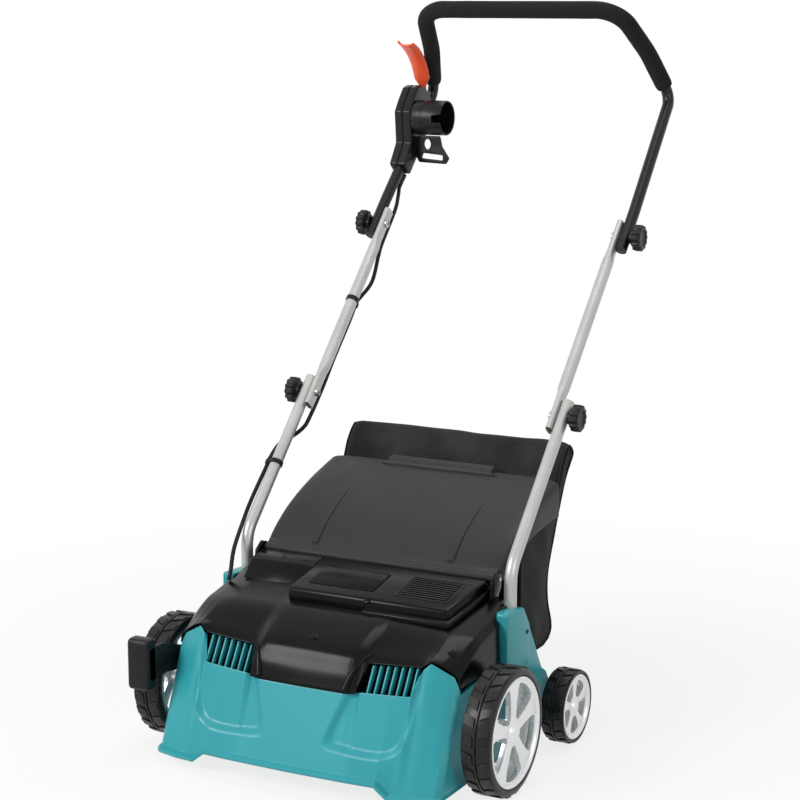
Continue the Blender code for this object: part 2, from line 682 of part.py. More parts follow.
def axle_parts():
    half = FRONT_TRACK / 2
    inner = half - FRONT_WHEEL_W
    arm_x = (DECK_SIDE_X + 0.0085 + inner) / 2
    crank = cylinder(AXLE_R, CRANK - (arm_x - ARM_T / 2 - GAP) * X, CRANK + (arm_x - ARM_T / 2 - GAP) * X, 16)
    finish(crank, "crank_shaft", "steel", CRANK)
    # Arm outlines in (y, z), from the crank shaft's boss to the axle's boss.
    boss_r = 0.013
    down = math.degrees(math.atan2(FRONT_AXLE.z - CRANK.z, FRONT_AXLE.y - CRANK.y))
    arm = arc(FRONT_AXLE.yz, boss_r, down - 90, down + 90, 8)
    arm += arc(CRANK.yz, boss_r, down + 90, down + 270, 8)
    lift = CRANK.z + 0.028
    front = CRANK.y - LEVER_REACH
    for side in (-1, 1):
        piece = plate(arm, ARM_T, "X", side * arm_x)
        if side < 0:
            blade = rounded([(CRANK.y + 0.012, CRANK.z - 0.012), (CRANK.y - 0.010, CRANK.z + 0.020),
                             (front + 0.030, lift + 0.026), (front - 0.006, lift + 0.026),
                             (front - 0.006, lift - 0.026), (front + 0.040, lift - 0.022)], 0.005)
            piece = union(piece, plate(blade, ARM_T, "X", side * arm_x))
            wide, deep, tall = LEVER_BLOCK
            lo = (-arm_x - ARM_T / 2 - wide + 0.008, front - deep / 2, lift - tall / 2)
            hi = (-arm_x + ARM_T / 2, front + deep / 2, lift + tall / 2)
            block = bevelled(box(lo, hi), 0.008, 2)
            piece = union(piece, block)
            window = rounded([(front + 0.038, lift - 0.014), (front + 0.044, lift - 0.014),
                              (front + 0.044, lift - 0.004), (front + 0.038, lift - 0.004)], 0.0025)
            piece = cut(piece, plate(window, 0.05, "X", -arm_x))
        stub = cylinder(AXLE_R, FRONT_AXLE + side * (arm_x - ARM_T / 2 + 0.001) * X,
                        FRONT_AXLE + side * (half - 0.005) * X, 16)
        piece = union(piece, stub)
        name, slot = ("depth_lever", "black_plastic") if side < 0 else ("crank_arm", "dark_steel")
        finish(piece, name, slot, CRANK)
    rear_half = REAR_TRACK / 2 - 0.005
    rear = cylinder(AXLE_R, REAR_AXLE - rear_half * X, REAR_AXLE + rear_half * X, 16)
    finish(rear, "rear_axle", "steel")
    for name, y, side, r, w, rim_r, track in (
            ("front_wheel_left", FRONT_AXLE, -1, FRONT_WHEEL_R, FRONT_WHEEL_W, FRONT_RIM_R, FRONT_TRACK),
            ("front_wheel_right", FRONT_AXLE, 1, FRONT_WHEEL_R, FRONT_WHEEL_W, FRONT_RIM_R, FRONT_TRACK),
            ("rear_wheel_left", REAR_AXLE, -1, REAR_WHEEL_R, REAR_WHEEL_W, REAR_RIM_R, REAR_TRACK),
            ("rear_wheel_right", REAR_AXLE, 1, REAR_WHEEL_R, REAR_WHEEL_W, REAR_RIM_R, REAR_TRACK)):
        wheel(name, y + side * track / 2 * X, side, r, w, rim_r)


def reel_parts():
    shaft_left = -END_PLATE_X - BEARING_W - PULLEY_W - 0.003
    shaft = cylinder(REEL_SHAFT_R, REEL + shaft_left * X, REEL + (END_PLATE_X + BEARING_W - 0.001) * X, 20)
    finish(shaft, "reel_shaft", "steel", REEL)
    spacer = cylinder(SPACER_R, REEL - REEL_HALF * X, REEL + REEL_HALF * X, 8)
    pitch = 2 * (REEL_HALF - 0.012) / (REEL_BLADES - 1)
    for k in range(REEL_BLADES):
        # Two curved prongs to a blade, each blade turned on from the last.
        outline = []
        for prong in (0, 180):
            base = 46.3 * k + prong + 4
            outline += arc((REEL_Y, REEL_Z), SPACER_R + 0.0055, base + 45, base + 120, 1)
            for r, a in ((0.040, 150), (REEL_R, 163), (REEL_R - 0.003, 172), (0.034, 188)):
                outline.append(arc((REEL_Y, REEL_Z), r, base + a, base + a, 1)[0])
        spacer = union(spacer, plate(outline, BLADE_T, "X", -REEL_HALF + 0.012 + pitch * k))
    bore = (REEL_SHAFT_R + GAP) / math.cos(math.pi / 8)
    spacer = cut(spacer, cylinder(bore, REEL - 0.3 * X, REEL + 0.3 * X, 8))
    finish(spacer, "reel_blades", "dark_steel", REEL)
    for side, name in ((-1, "reel_bearing_left"), (1, "reel_bearing_right")):
        inner = REEL_SHAFT_R + GAP
        ring = turned([(inner, 0), (BEARING_R, 0), (BEARING_R, BEARING_W), (inner, BEARING_W)],
                      REEL + side * (END_PLATE_X - 0.002) * X, (side, 0, 0), 16)
        finish(ring, name, "steel")
    belt_x = -END_PLATE_X - BEARING_W - 0.001 - PULLEY_W / 2
    for centre, radius, bore, name in ((REEL, REEL_PULLEY_R, REEL_SHAFT_R, "reel_pulley"),
                                       (MOTOR, MOTOR_PULLEY_R, MOTOR_SHAFT_R, "motor_pulley")):
        h = PULLEY_W / 2
        rim = [(bore + GAP, -h), (radius + 0.003, -h), (radius, -h + 0.0016), (radius, h - 0.0016),
               (radius + 0.003, h), (bore + GAP, h)]
        finish(turned(rim, centre + belt_x * X, X, 16), name, "steel", centre)
    # Belt round both pulleys: two arcs and the tangents between them.
    run = Vector((REEL.y - MOTOR.y, REEL.z - MOTOR.z))
    heading = math.degrees(math.atan2(run.y, run.x))
    lean = math.degrees(math.asin((REEL_PULLEY_R - MOTOR_PULLEY_R) / run.length))

    def loop(extra):
        big = REEL_PULLEY_R + extra
        small = MOTOR_PULLEY_R + extra
        return (arc((REEL.y, REEL.z), big, heading - 90 - lean, heading + 90 + lean, 12)
                + arc((MOTOR.y, MOTOR.z), small, heading + 90 + lean, heading + 270 - lean, 8))
    belt = plate(loop(GAP + BELT_T), PULLEY_W - 0.004, "X", belt_x, [loop(GAP)])
    finish(belt, "drive_belt", "rubber")


def motor_parts():
    left, right = MOTOR_X
    can = turned([(0, right), (MOTOR_R - 0.004, right), (MOTOR_R, right - 0.004), (MOTOR_R, left + 0.004),
                  (MOTOR_R - 0.004, left), (0, left)], MOTOR, X, 20, closed=False)
    foot = box((left + 0.012, MOTOR_Y - 0.030, 0.1290 + GAP),
               (right - 0.012, MOTOR_Y + 0.030, MOTOR_Z - 0.020))
    bore = cylinder(MOTOR_SHAFT_R + PLAY, MOTOR - 0.3 * X, MOTOR + 0.3 * X, 14)
    finish(cut(union(can, foot), bore), "motor_can", "motor")
    shaft = cylinder(MOTOR_SHAFT_R, MOTOR - (END_PLATE_X + BEARING_W + PULLEY_W + 0.003) * X,
                     MOTOR + (right + 0.026) * X, 14)
    finish(shaft, "motor_shaft", "steel", MOTOR)
    hub = turned([(MOTOR_SHAFT_R + GAP, 0.004), (0.011, 0.004), (0.011, 0.022), (MOTOR_SHAFT_R + GAP, 0.022)],
                 MOTOR + right * X, X, 18)
    for k in range(6):
        turn = math.radians(60 * k)
        along = Vector((0, math.cos(turn), math.sin(turn)))
        across = Vector((0, -math.sin(turn), math.cos(turn)))
        mid = MOTOR + (right + 0.013) * X
        blade = ((0.010, -0.001), (FAN_R, -0.001), (FAN_R, 0.001), (0.010, 0.001))
        corners = [mid + along * r + across * w for r, w in blade]
        hub = union(hub, plate([(p.y, p.z) for p in corners], 0.014, "X", mid.x))
    finish(hub, "cooling_fan", "black_plastic", MOTOR)


def flap_parts():
    # Curved lid: an arc in side view, slightly crowned, with skirts down both sides.
    arch = ((0.1470, 0.2845), (0.158, 0.2955), (0.1755, 0.3100), (0.205, 0.3290), (0.238, 0.3450),
            (0.270, 0.3575), (0.296, 0.3660), (0.330, 0.3755), (0.354, 0.3815))
    rows = []
    for x, drop in ((0.0, 0.0), (0.110, 0.0), (0.180, 0.001), (0.198, 0.0035), (FLAP_HALF, 0.011)):
        rows.append([(x, y, z - drop) for y, z in arch])
    skirt = [0.016 + 0.044 * k / (len(arch) - 1) for k in range(len(arch))]
    rows.append([(FLAP_HALF + 0.001, y, z - drop) for (y, z), drop in zip(arch, skirt)])
    flap = shell(mirrored(skin(rows)), FLAP_T)
    # Hand lip along the rear edge and two tapering ribs.
    edge = rounded([(0.338, 0.3760), (0.342, 0.3850), (0.357, 0.3905), (0.362, 0.3880),
                    (0.356, 0.3790)], 0.0015)
    lip = plate(edge, FLAP_LIP_W, "X", 0)
    flap = union(flap, bevelled(lip, 0.002, 1))
    for side in (-1, 1):
        first = arch[1:6]
        outline = [(y, z + 0.0020 * (1 - k / 4)) for k, (y, z) in enumerate(first)]
        outline += [(y, z - 0.0015) for y, z in reversed(first)]
        flap = union(flap, plate(outline, 0.005, "X", side * 0.118))
    # Hinge barrel on the pin, joined to the lid's front edge.
    reach = FLAP_HALF - 0.0065
    web = [(FLAP_PIN_Y - 0.001, FLAP_PIN_Z + 0.0040), (FLAP_PIN_Y + 0.0010, FLAP_PIN_Z + FLAP_BARREL_R),
           (0.1500, 0.2862), (0.1510, 0.2845), (FLAP_PIN_Y + FLAP_BARREL_R, FLAP_PIN_Z)]
    barrel = cylinder(FLAP_BARREL_R, FLAP_PIN - reach * X, FLAP_PIN + reach * X, 10)
    flap = union(flap, union(barrel, plate(web, 2 * reach, "X", 0)))
    flap = cut(flap, cylinder(FLAP_PIN_R + PLAY, FLAP_PIN - 0.3 * X, FLAP_PIN + 0.3 * X, 10))
    finish(flap, "discharge_flap", "grey_flap", FLAP_PIN)
    pin = cylinder(FLAP_PIN_R, FLAP_PIN - 0.2075 * X, FLAP_PIN + 0.2075 * X, 12)
    finish(pin, "flap_pin", "steel")


def bag_parts():
    # Side view of the bag, from the mouth's sill round the sagging bottom, up the back and along the top.
    side = [(BAG_MOUTH_Y, 0.1260), (0.262, 0.1180), (0.300, 0.1160), (0.336, 0.1185), (0.354, 0.1320),
            (0.356, 0.1500), (0.342, 0.1880), (0.341, 0.2325), (0.363, 0.2850), (0.385, 0.3320),
            (0.408, 0.3730), (0.434, 0.4030), (0.430, 0.4170), (0.412, 0.4240), (0.388, 0.4000),
            (0.368, 0.3640), (0.330, 0.3560), (0.296, 0.3470), (0.262, 0.3370), (BAG_MOUTH_Y, 0.3290)]
    outer = plate(side, 2 * BAG_HALF, "X", 0)
    outer = bevelled(outer, 0.006, 2, 60)
    inset = []
    ring = [Vector(p) for p in side]
    for k, here in enumerate(ring):
        before = (here - ring[k - 1]).normalized()
        after = (ring[(k + 1) % len(ring)] - here).normalized()
        normal = Vector((-(before + after).y, (before + after).x)).normalized()
        inset.append(here + normal * BAG_WALL)
    inset[0] = Vector((BAG_MOUTH_Y - 0.02, inset[0].y))
    inset[-1] = Vector((BAG_MOUTH_Y - 0.02, inset[-1].y))
    inner = plate([(p.x, p.y) for p in inset], 2 * (BAG_HALF - BAG_WALL), "X", 0)
    finish(cut(outer, inner), "bag_fabric", "bag_cloth")
    # Wire frame that holds the mouth open, just inside the cloth.
    wire = 0.003
    edge = BAG_HALF - BAG_WALL - wire - GAP
    low = side[0][1] + BAG_WALL + wire + GAP
    high = side[-1][1] - BAG_WALL - wire - 0.0012
    y = BAG_MOUTH_Y + wire + 0.003
    loop = [(0, y, low), (edge, y, low), (edge, y, high), (-edge, y, high), (-edge, y, low), (0, y, low)]
    ring = bent(loop, [0.012] * 4, 3)[:-1]
    finish(rod(ring, wire, 1, closed=True), "bag_frame", "steel")


def handle_parts():
    lower = Vector((0, *LOWER_BOLT))
    upper = Vector((0, *UPPER_BOLT))
    up = (upper - lower).normalized()
    heel_z = lower.z - (lower.y - SOCKET_Y) * up.z / up.y
    for side, name in ((-1, "left"), (1, "right")):
        at = side * TUBE_X * X
        route = bent([at + Vector((0, SOCKET_Y, SOCKET_BOTTOM)), at + Vector((0, SOCKET_Y, heel_z)),
                      at + lower + up * TUBE_LAP], [LOWER_BEND], 4)
        low = tube(route, TUBE_R, TUBE_WALL)
        low = cut(low, cylinder(BOLT_ROOM, lower - 0.4 * X, lower + 0.4 * X, 8))
        finish(low, "lower_tube_" + name, "silver_tube")
        # Middle tube: round, pressed flat where it laps the others.
        outer_x = TUBE_X - TUBE_R - GAP
        flat_x = outer_x - FLAT_T / 2
        length = (upper - lower).length
        stations = [(-TUBE_LAP, 1), (FLAT_LENGTH - 0.006, 1), (FLAT_LENGTH + 0.020, 0),
                    (length - FLAT_LENGTH - 0.020, 0), (length - FLAT_LENGTH + 0.006, 1),
                    (length + TUBE_LAP, 1)]
        across = up.cross(X)
        rings = []
        for wall in (0.0, TUBE_WALL):
            rows = []
            for s, flat in stations:
                half_x = (FLAT_T / 2 if flat else TUBE_R) - wall
                half_n = (FLAT_W / 2 if flat else TUBE_R) - wall
                x = flat_x if flat else outer_x - TUBE_R + 0.004
                centre = lower + up * s + side * x * X
                turns = [math.tau * k / 12 for k in range(13)]
                rows.append([centre + X * half_x * math.cos(a) + across * half_n * math.sin(a)
                             for a in turns])
            rings.append(rows)
        loop = rings[0] + rings[1][::-1] + [rings[0][0]]
        mid = outward(applied(skin(loop), 1e-6))
        for bolt in (lower, upper):
            mid = cut(mid, cylinder(BOLT_ROOM, bolt - 0.4 * X, bolt + 0.4 * X, 8))
        finish(mid, "middle_tube_" + name, "silver_tube", lower)
        # Bolts with round heads inside and star knobs outside.
        head_x = outer_x - FLAT_T - GAP
        knob_x = TUBE_X + TUBE_R + GAP
        tip = knob_x + KNOB_COLLAR_T + 0.008
        for level, bolt in (("lower", lower), ("upper", upper)):
            shank = cylinder(BOLT_R, bolt + side * (head_x - 0.001) * X, bolt + side * tip * X, 8)
            dome = [(0, BOLT_HEAD_T), (0.55 * BOLT_HEAD_R, 0.8 * BOLT_HEAD_T), (BOLT_HEAD_R, 0.0005),
                    (BOLT_HEAD_R, 0), (0, 0)]
            head = turned(dome, bolt + side * head_x * X, (-side, 0, 0), 10, closed=False)
            finish(union(shank, head), level + "_bolt_" + name, "steel", bolt)
            star = []
            for k in range(2 * KNOB_LOBES):
                turn = 180 / KNOB_LOBES * k
                star += arc(bolt.yz, KNOB_R - 0.0025 * (k % 2), turn, turn, 1)[:1]
            head_mid = knob_x + KNOB_COLLAR_T + KNOB_T / 2
            knob = plate(star, KNOB_T, "X", side * head_mid)
            collar_end = knob_x + KNOB_COLLAR_T + 0.002
            collar = cylinder(KNOB_COLLAR_R, bolt + side * knob_x * X, bolt + side * collar_end * X, 12)
            hole = cylinder(BOLT_ROOM, bolt, bolt + side * (tip + 0.001) * X, 8)
            finish(cut(union(knob, collar), hole), level + "_knob_" + name, "black_plastic", bolt)
    # Upper handle: one tube bent into a forward-leaning loop.
    start = upper - up * TUBE_LAP
    knee = upper + up * HANDLE_KNEE
    ends = [Vector((TUBE_X, start.y, start.z)), Vector((TUBE_X, knee.y, knee.z)),
            Vector(HANDLE_APEX), Vector(HANDLE_MIDLEG), Vector(HANDLE_CORNER)]
    corners = ends + [Vector((-p.x, p.y, p.z)) for p in reversed(ends)]
    bends = [APEX_BEND, MIDLEG_BEND, CORNER_BEND]
    loop = corners[1:-1]
    route = [corners[0], *bent(loop, bends + bends[::-1], 3), corners[-1]]
    loop = tube(route, TUBE_R, TUBE_WALL)
    loop = cut(loop, cylinder(BOLT_ROOM, upper - 0.4 * X, upper + 0.4 * X, 8))
    finish(loop, "upper_handle_tube", "black_tube", upper)
    leg = Vector(HANDLE_APEX) + (Vector(HANDLE_MIDLEG) - Vector(HANDLE_APEX)).normalized() * GRIP_START
    ends = [leg, Vector(HANDLE_MIDLEG), Vector(HANDLE_CORNER)]
    bends = [MIDLEG_BEND, CORNER_BEND]
    grip_route = bent(ends + [Vector((-p.x, p.y, p.z)) for p in reversed(ends)], bends + bends[::-1], 3)
    grip = shell(rod(grip_route, GRIP_R, 4, capped=False), GRIP_R - TUBE_ROOM)
    finish(grip, "foam_grip", "foam", upper)
    return up, route[len(route) // 2:]


def switch_parts(up, left_leg):
    upper = Vector((0, *UPPER_BOLT))
    rear = up.cross(X)
    if rear.y < 0:
        rear = -rear

    def beside_tube(s, off):
        p = upper + up * s + rear * off
        return (p.y, p.z)
    wrap = TUBE_R + 0.0045
    outline = rounded([beside_tube(0.118, -wrap), (0.648, 0.874), (0.643, 0.928), (0.657, 0.948),
                       (0.674, 0.968), (0.690, 0.972), (0.719, 0.957), beside_tube(0.258, wrap),
                       beside_tube(0.118, wrap)], 0.004)
    bore = rod(left_leg, TUBE_ROOM, 4)
    half = BOX_T / 2
    opening = rounded([(0.700, 0.940), (0.692, 0.990), (0.722, 0.990), (0.724, 0.940)], 0.003)
    pocket = plate(opening, LEVER_W * 0.4 + 0.002, "X", BOX_X + LEVER_SHIFT)
    for side, name in ((-1, "outer"), (1, "inner")):
        shape = plate(outline, half - GAP / 2, "X", BOX_X + side * (half / 2 + GAP / 4))
        shape = bevelled(shape, 0.0015, 1, 60)
        drill = bore.copy()
        drill.data = bore.data.copy()
        PARTS.objects.link(drill)
        shape = cut(shape, drill)
        room = pocket.copy()
        room.data = pocket.data.copy()
        PARTS.objects.link(room)
        shape = cut(shape, room)
        if side < 0:
            seat = Vector((BOX_X - half, *BUTTON))
            depth = BUTTON_SEAT + BUTTON_TRAVEL + GAP
            shape = cut(shape, cylinder(BUTTON_R + PLAY, seat - 0.01 * X, seat + depth * X, 16))
        pin = Vector((BOX_X, *SWITCH_PIVOT))
        shape = cut(shape, cylinder(LEVER_PIN_R + GAP, pin - 0.008 * X, pin + (half - 0.0007) * X, 12))
        finish(shape, "switch_box_" + name, "black_plastic", upper)
    bpy.data.objects.remove(bore, do_unlink=True)
    bpy.data.objects.remove(pocket, do_unlink=True)
    # Mains inlet: a round shroud with a notched mouth and two pins.
    face = BOX_X + half + GAP
    axis = Vector((0, SHROUD_Y, SHROUD_Z))
    cup = turned([(0, 0), (SHROUD_R, 0), (SHROUD_R, SHROUD_LENGTH), (SHROUD_R - SHROUD_WALL, SHROUD_LENGTH),
                  (SHROUD_R - SHROUD_WALL, 0.006), (0, 0.006)], axis + face * X, X, 24, closed=False)
    notch = box((face + 0.040, SHROUD_Y - 0.05, SHROUD_Z - 0.006),
                (face + SHROUD_LENGTH + 0.01, SHROUD_Y, SHROUD_Z + 0.006))
    cup = cut(cup, notch)
    finish(cup, "plug_inlet", "black_plastic", upper)
    floor = axis + (face + 0.006 + GAP) * X
    pins = cylinder(0.018, floor, floor + 0.0015 * X, 16)
    for dz in (-0.0095, 0.0095):
        root = floor + Vector((0.0005, 0, dz))
        pins = union(pins, cylinder(0.0024, root, root + 0.036 * X, 8))
    finish(pins, "inlet_pins", "brass", upper)
    # Switch lever: a channel that follows the grip's left leg.
    pivot = Vector((0, *SWITCH_PIVOT))
    path = [(0.712, 0.948), (0.708, 0.968), (0.697, 0.992), (0.682, 1.013), (0.664, 1.029), (0.643, 1.040)]
    centre = BOX_X + LEVER_SHIFT
    flange = (0.0045, 0.0040)
    rows = [[(centre - LEVER_W / 2, y + flange[0], z + flange[1]) for y, z in path]]
    rows += [[(centre + LEVER_W * k / 4 - LEVER_W / 2, y, z) for y, z in path] for k in range(5)]
    rows.append([(centre + LEVER_W / 2, y + flange[0], z + flange[1]) for y, z in path])
    lever = shell(skin(rows), LEVER_T, 0.0)
    trim = box((centre - LEVER_W, 0.69, 0.90), (centre - LEVER_W * 0.2, 0.80, 0.9785))
    trim2 = box((centre + LEVER_W * 0.2, 0.69, 0.90), (centre + LEVER_W, 0.80, 0.9785))
    lever = cut(lever, trim, trim2)
    pin = Vector((BOX_X, *SWITCH_PIVOT))
    lever = union(lever, cylinder(LEVER_PIN_R, pin - 0.0075 * X, pin + (half - 0.001) * X, 10))
    finish(lever, "switch_lever", "orange_lever", pivot)
    # Cord hook: a flat loop under the inlet.
    hook_y = SHROUD_Y - 0.004
    outline = rounded([(face, 0.884), (face + 0.006, 0.886), (face + 0.046, 0.886), (face + 0.050, 0.868),
                       (face + 0.064, 0.848), (face + 0.058, 0.838), (face + 0.006, 0.840),
                       (face, 0.850)], 0.003)
    slot = rounded([(face + 0.010, 0.847), (face + 0.052, 0.844), (face + 0.052, 0.853),
                    (face + 0.014, 0.856)], 0.003)
    eye = [(face + 0.022 + 0.0065 * math.cos(math.tau * k / 16), 0.8715 + 0.009 * math.sin(math.tau * k / 16))
           for k in range(16)]
    finish(plate(outline, HOOK_T, "Y", hook_y, [slot, eye]), "cord_hook", "black_plastic", upper)
    # Safety button on the outer half.
    press = Vector((BOX_X - half + BUTTON_SEAT, *BUTTON))
    cap = [(0, 0.009), (0.006, 0.0085), (BUTTON_R, 0.007), (BUTTON_R, 0), (0, 0)]
    button = turned(cap, press, (-1, 0, 0), 16, closed=False)
    finish(button, "lock_button", "orange_lever", press)


def cable_parts(up):
    lower = Vector((0, *LOWER_BOLT))
    upper = Vector((0, *UPPER_BOLT))
    rear = up.cross(X)
    if rear.y < 0:
        rear = -rear
    run_x = -(TUBE_X - TUBE_R - GAP - 0.0060)
    off = TUBE_R + CABLE_R + 0.0022

    def spot(bolt, s, away=off, x=run_x):
        return bolt + up * s + rear * away + x * X
    split = -0.040
    mid_x = -(TUBE_X - 2 * TUBE_R - GAP + 0.004)
    length = (upper - lower).length
    side_x = -TUBE_X - off
    first = [Vector((-0.222, 0.061, 0.2352)), Vector((-0.2225, 0.0675, 0.249)), Vector((-0.232, 0.0931, 0.2774)),
             Vector((-0.241, 0.1347, 0.3104)), Vector((side_x, 0.1632, 0.3381)),
             spot(lower, CLIP_LOWER - 0.008, 0, side_x), spot(lower, CLIP_LOWER + 0.008, 0, side_x),
             spot(lower, -0.100, 0.008, -0.2425), spot(lower, -0.082, off, -0.232),
             spot(lower, -0.062, off, -0.217), spot(lower, split - 0.0014)]
    second = [spot(lower, split), spot(lower, 0.02, off + 0.002), spot(lower, 0.075, off),
              spot(lower, 0.150, 0.016, -0.2130),
              spot(lower, CLIP_MIDDLE - 0.008, off, mid_x), spot(lower, CLIP_MIDDLE + 0.008, off, mid_x),
              spot(lower, 0.240, 0.023, -0.206), spot(lower, 0.290, 0.018, -0.210),
              spot(lower, length - 0.03, off + 0.002), spot(upper, -split)]
    third = [spot(upper, -split + 0.0010), spot(upper, 0.070, off + 0.001, -0.218),
             spot(upper, 0.095, off + 0.001, -0.224), spot(upper, 0.1165, off + 0.001, -0.2255)]
    for name, route, pivot in (("cable_lower", first, lower), ("cable_middle", second, lower),
                               ("cable_upper", third, upper)):
        finish(rod(smooth(route, 0.034), CABLE_R, 2), name, "rubber", pivot)
    # Clips: a band round the tube and a smaller one round the cable.
    room = (CABLE_R + GAP) / math.cos(math.pi / 8)
    for name, s, x, aside in (("cable_clip_lower", CLIP_LOWER, -TUBE_X, -X),
                              ("cable_clip_middle", CLIP_MIDDLE, mid_x, rear)):
        half = 0.004
        outer = TUBE_ROOM + CLIP_T
        band = turned([(TUBE_ROOM, -half), (outer, -half), (outer, half), (TUBE_ROOM, half)],
                      lower + up * s + x * X, up, 12)
        loop = turned([(room, -half), (room + CLIP_T, -half), (room + CLIP_T, half), (room, half)],
                      lower + up * s + x * X + aside * off, up, 8)
        finish(union(band, loop), name, "black_plastic", lower)


motor_cover()
deck_housing()
axle_parts()
reel_parts()
motor_parts()
flap_parts()
bag_parts()
HANDLE_UP, LEFT_LEG = handle_parts()
switch_parts(HANDLE_UP, LEFT_LEG)
cable_parts(HANDLE_UP)

# Origin under the middle of the whole outline.
bpy.context.view_layer.update()
meshes = [obj for obj in PARTS.objects if obj.type == "MESH"]
corners = [obj.matrix_world @ Vector(corner) for obj in meshes for corner in obj.bound_box]
low = Vector([min(c[k] for c in corners) for k in range(3)])
high = Vector([max(c[k] for c in corners) for k in range(3)])
ROOT.location = (-(low.x + high.x) / 2, -(low.y + high.y) / 2, -low.z)
bpy.context.view_layer.update()
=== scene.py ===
"""Looks of the electric lawn dethatcher: finishes, fine shapes, studio and camera."""

import math

import bmesh
import bpy
from mathutils import Matrix, Vector, noise


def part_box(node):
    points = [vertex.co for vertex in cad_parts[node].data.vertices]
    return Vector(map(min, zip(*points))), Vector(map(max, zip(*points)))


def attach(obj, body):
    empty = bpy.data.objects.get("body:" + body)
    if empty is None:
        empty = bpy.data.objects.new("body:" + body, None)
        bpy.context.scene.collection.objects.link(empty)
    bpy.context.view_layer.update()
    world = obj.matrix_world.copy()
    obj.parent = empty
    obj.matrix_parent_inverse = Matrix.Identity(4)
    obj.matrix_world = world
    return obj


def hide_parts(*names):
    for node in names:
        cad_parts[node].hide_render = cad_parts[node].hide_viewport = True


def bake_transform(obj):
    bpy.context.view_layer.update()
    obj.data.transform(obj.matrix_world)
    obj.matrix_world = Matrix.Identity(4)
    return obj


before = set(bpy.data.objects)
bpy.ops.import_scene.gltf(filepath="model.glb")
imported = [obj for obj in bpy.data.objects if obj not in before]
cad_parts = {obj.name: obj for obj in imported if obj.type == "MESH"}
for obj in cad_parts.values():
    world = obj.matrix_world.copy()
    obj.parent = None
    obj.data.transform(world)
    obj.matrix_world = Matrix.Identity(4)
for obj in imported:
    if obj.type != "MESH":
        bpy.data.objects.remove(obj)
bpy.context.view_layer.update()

# Studio and camera.
# A pale seamless floor, a white surround, and large soft lamps as over a product table.
# The camera stands in front of the machine's right front wheel, a little above the grip.
scene = bpy.context.scene
wheel_low, wheel_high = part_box("front_wheel_right_tyre")
axle_y = (wheel_low[1] + wheel_high[1]) / 2


def placed(name, data):
    """An object in the scene that holds some data."""
    made = bpy.data.objects.new(name, data)
    scene.collection.objects.link(made)
    return made


def aimed(name, data, place, gaze):
    """A camera or lamp at a place, looking along a direction."""
    made = placed(name, data)
    made.location = place
    made.rotation_euler = Vector(gaze).to_track_quat("-Z", "Y").to_euler()
    return made


def fill(made, values):
    """A node with values set on its inputs."""
    for label, value in values.items():
        made.inputs[label].default_value = value
    return made


def node(tree, kind, values=None, **settings):
    """A node added to a tree, with its settings and its inputs' values."""
    made = tree.nodes.new(kind)
    for label, value in settings.items():
        setattr(made, label, value)
    return fill(made, values or {})


def wire(tree, *joins):
    """Links in a tree, each given as (node, output, node, input)."""
    for source, out, target, into in joins:
        tree.links.new(source.outputs[out], target.inputs[into])


def seen_white(tree):
    """A node that gives 1 for camera, glossy and transmission rays."""
    paths = node(tree, "ShaderNodeLightPath")
    seen = node(tree, "ShaderNodeMath", operation="MAXIMUM")
    through = node(tree, "ShaderNodeMath", operation="MAXIMUM")
    wire(tree, (paths, "Is Camera Ray", seen, 0), (paths, "Is Glossy Ray", seen, 1), (seen, 0, through, 0),
         (paths, "Is Transmission Ray", through, 1))
    return through


camera = bpy.data.cameras.new("product_camera")
camera.sensor_width = 36.0
camera.lens = 93.42
eye = (1.46775, -2.5598 + axle_y, 1.125275)
scene.camera = aimed("product_camera", camera, eye, (-0.4597, 0.8672, -0.1913))
scene.view_settings.view_transform = "Standard"

pure_white = {"Color": (1.0, 1.0, 1.0, 1.0), "Strength": 1.0}
scene.world = bpy.data.worlds.new("white_studio")
scene.world.use_nodes = True
sky = scene.world.node_tree
ambient = fill(sky.nodes["Background"], {"Color": (0.97, 0.985, 1.0, 1.0), "Strength": 0.24})
white = node(sky, "ShaderNodeBackground", pure_white)
choose = node(sky, "ShaderNodeMixShader")
wire(sky, (seen_white(sky), 0, choose, 0), (ambient, 0, choose, 1), (white, 0, choose, 2),
     (choose, 0, sky.nodes["World Output"], "Surface"))

for label, place, aim, size, power in (("key", (-1.8, -2.8, 2.35), (0, 0, 0.3), 1.4, 86.0),
                                       ("fill", (2.7, -1.5, 1.5), (0, 0, 0.4), 1.4, 16.0),
                                       ("top", (0.1, 0.7, 3.2), (0, 0.1, 0.3), 1.6, 28.0)):
    lamp = bpy.data.lights.new(label + "_lamp", "AREA")
    lamp.size = size
    lamp.energy = power
    aimed(label + "_lamp", lamp, place, Vector(aim) - Vector(place))

floor_mesh = bpy.data.meshes.new("studio_floor")
floor_mesh.from_pydata([(-14, -14, 0), (14, -14, 0), (14, 14, 0), (-14, 14, 0)], [], [(0, 1, 2, 3)])
floor = placed("studio_floor", floor_mesh)
paper = bpy.data.materials.new("studio_paper")
paper.use_nodes = True
tree = paper.node_tree
matt = fill(tree.nodes["Principled BSDF"], {"Base Color": (0.88, 0.88, 0.88, 1.0), "Roughness": 0.9})
glow = node(tree, "ShaderNodeEmission", pure_white)
where = node(tree, "ShaderNodeTexCoord")
away = node(tree, "ShaderNodeVectorMath", operation="LENGTH")
spread = node(tree, "ShaderNodeMapRange", {"From Min": 0.35, "From Max": 1.3, "To Min": 0.80, "To Max": 1.0})
share = node(tree, "ShaderNodeMath", operation="MULTIPLY")
blend = node(tree, "ShaderNodeMixShader")
wire(tree, (where, "Object", away, 0), (away, "Value", spread, "Value"), (seen_white(tree), 0, share, 0),
     (spread, "Result", share, 1), (share, 0, blend, 0), (matt, 0, blend, 1), (glow, 0, blend, 2),
     (blend, 0, tree.nodes["Material Output"], "Surface"))
floor_mesh.materials.append(paper)


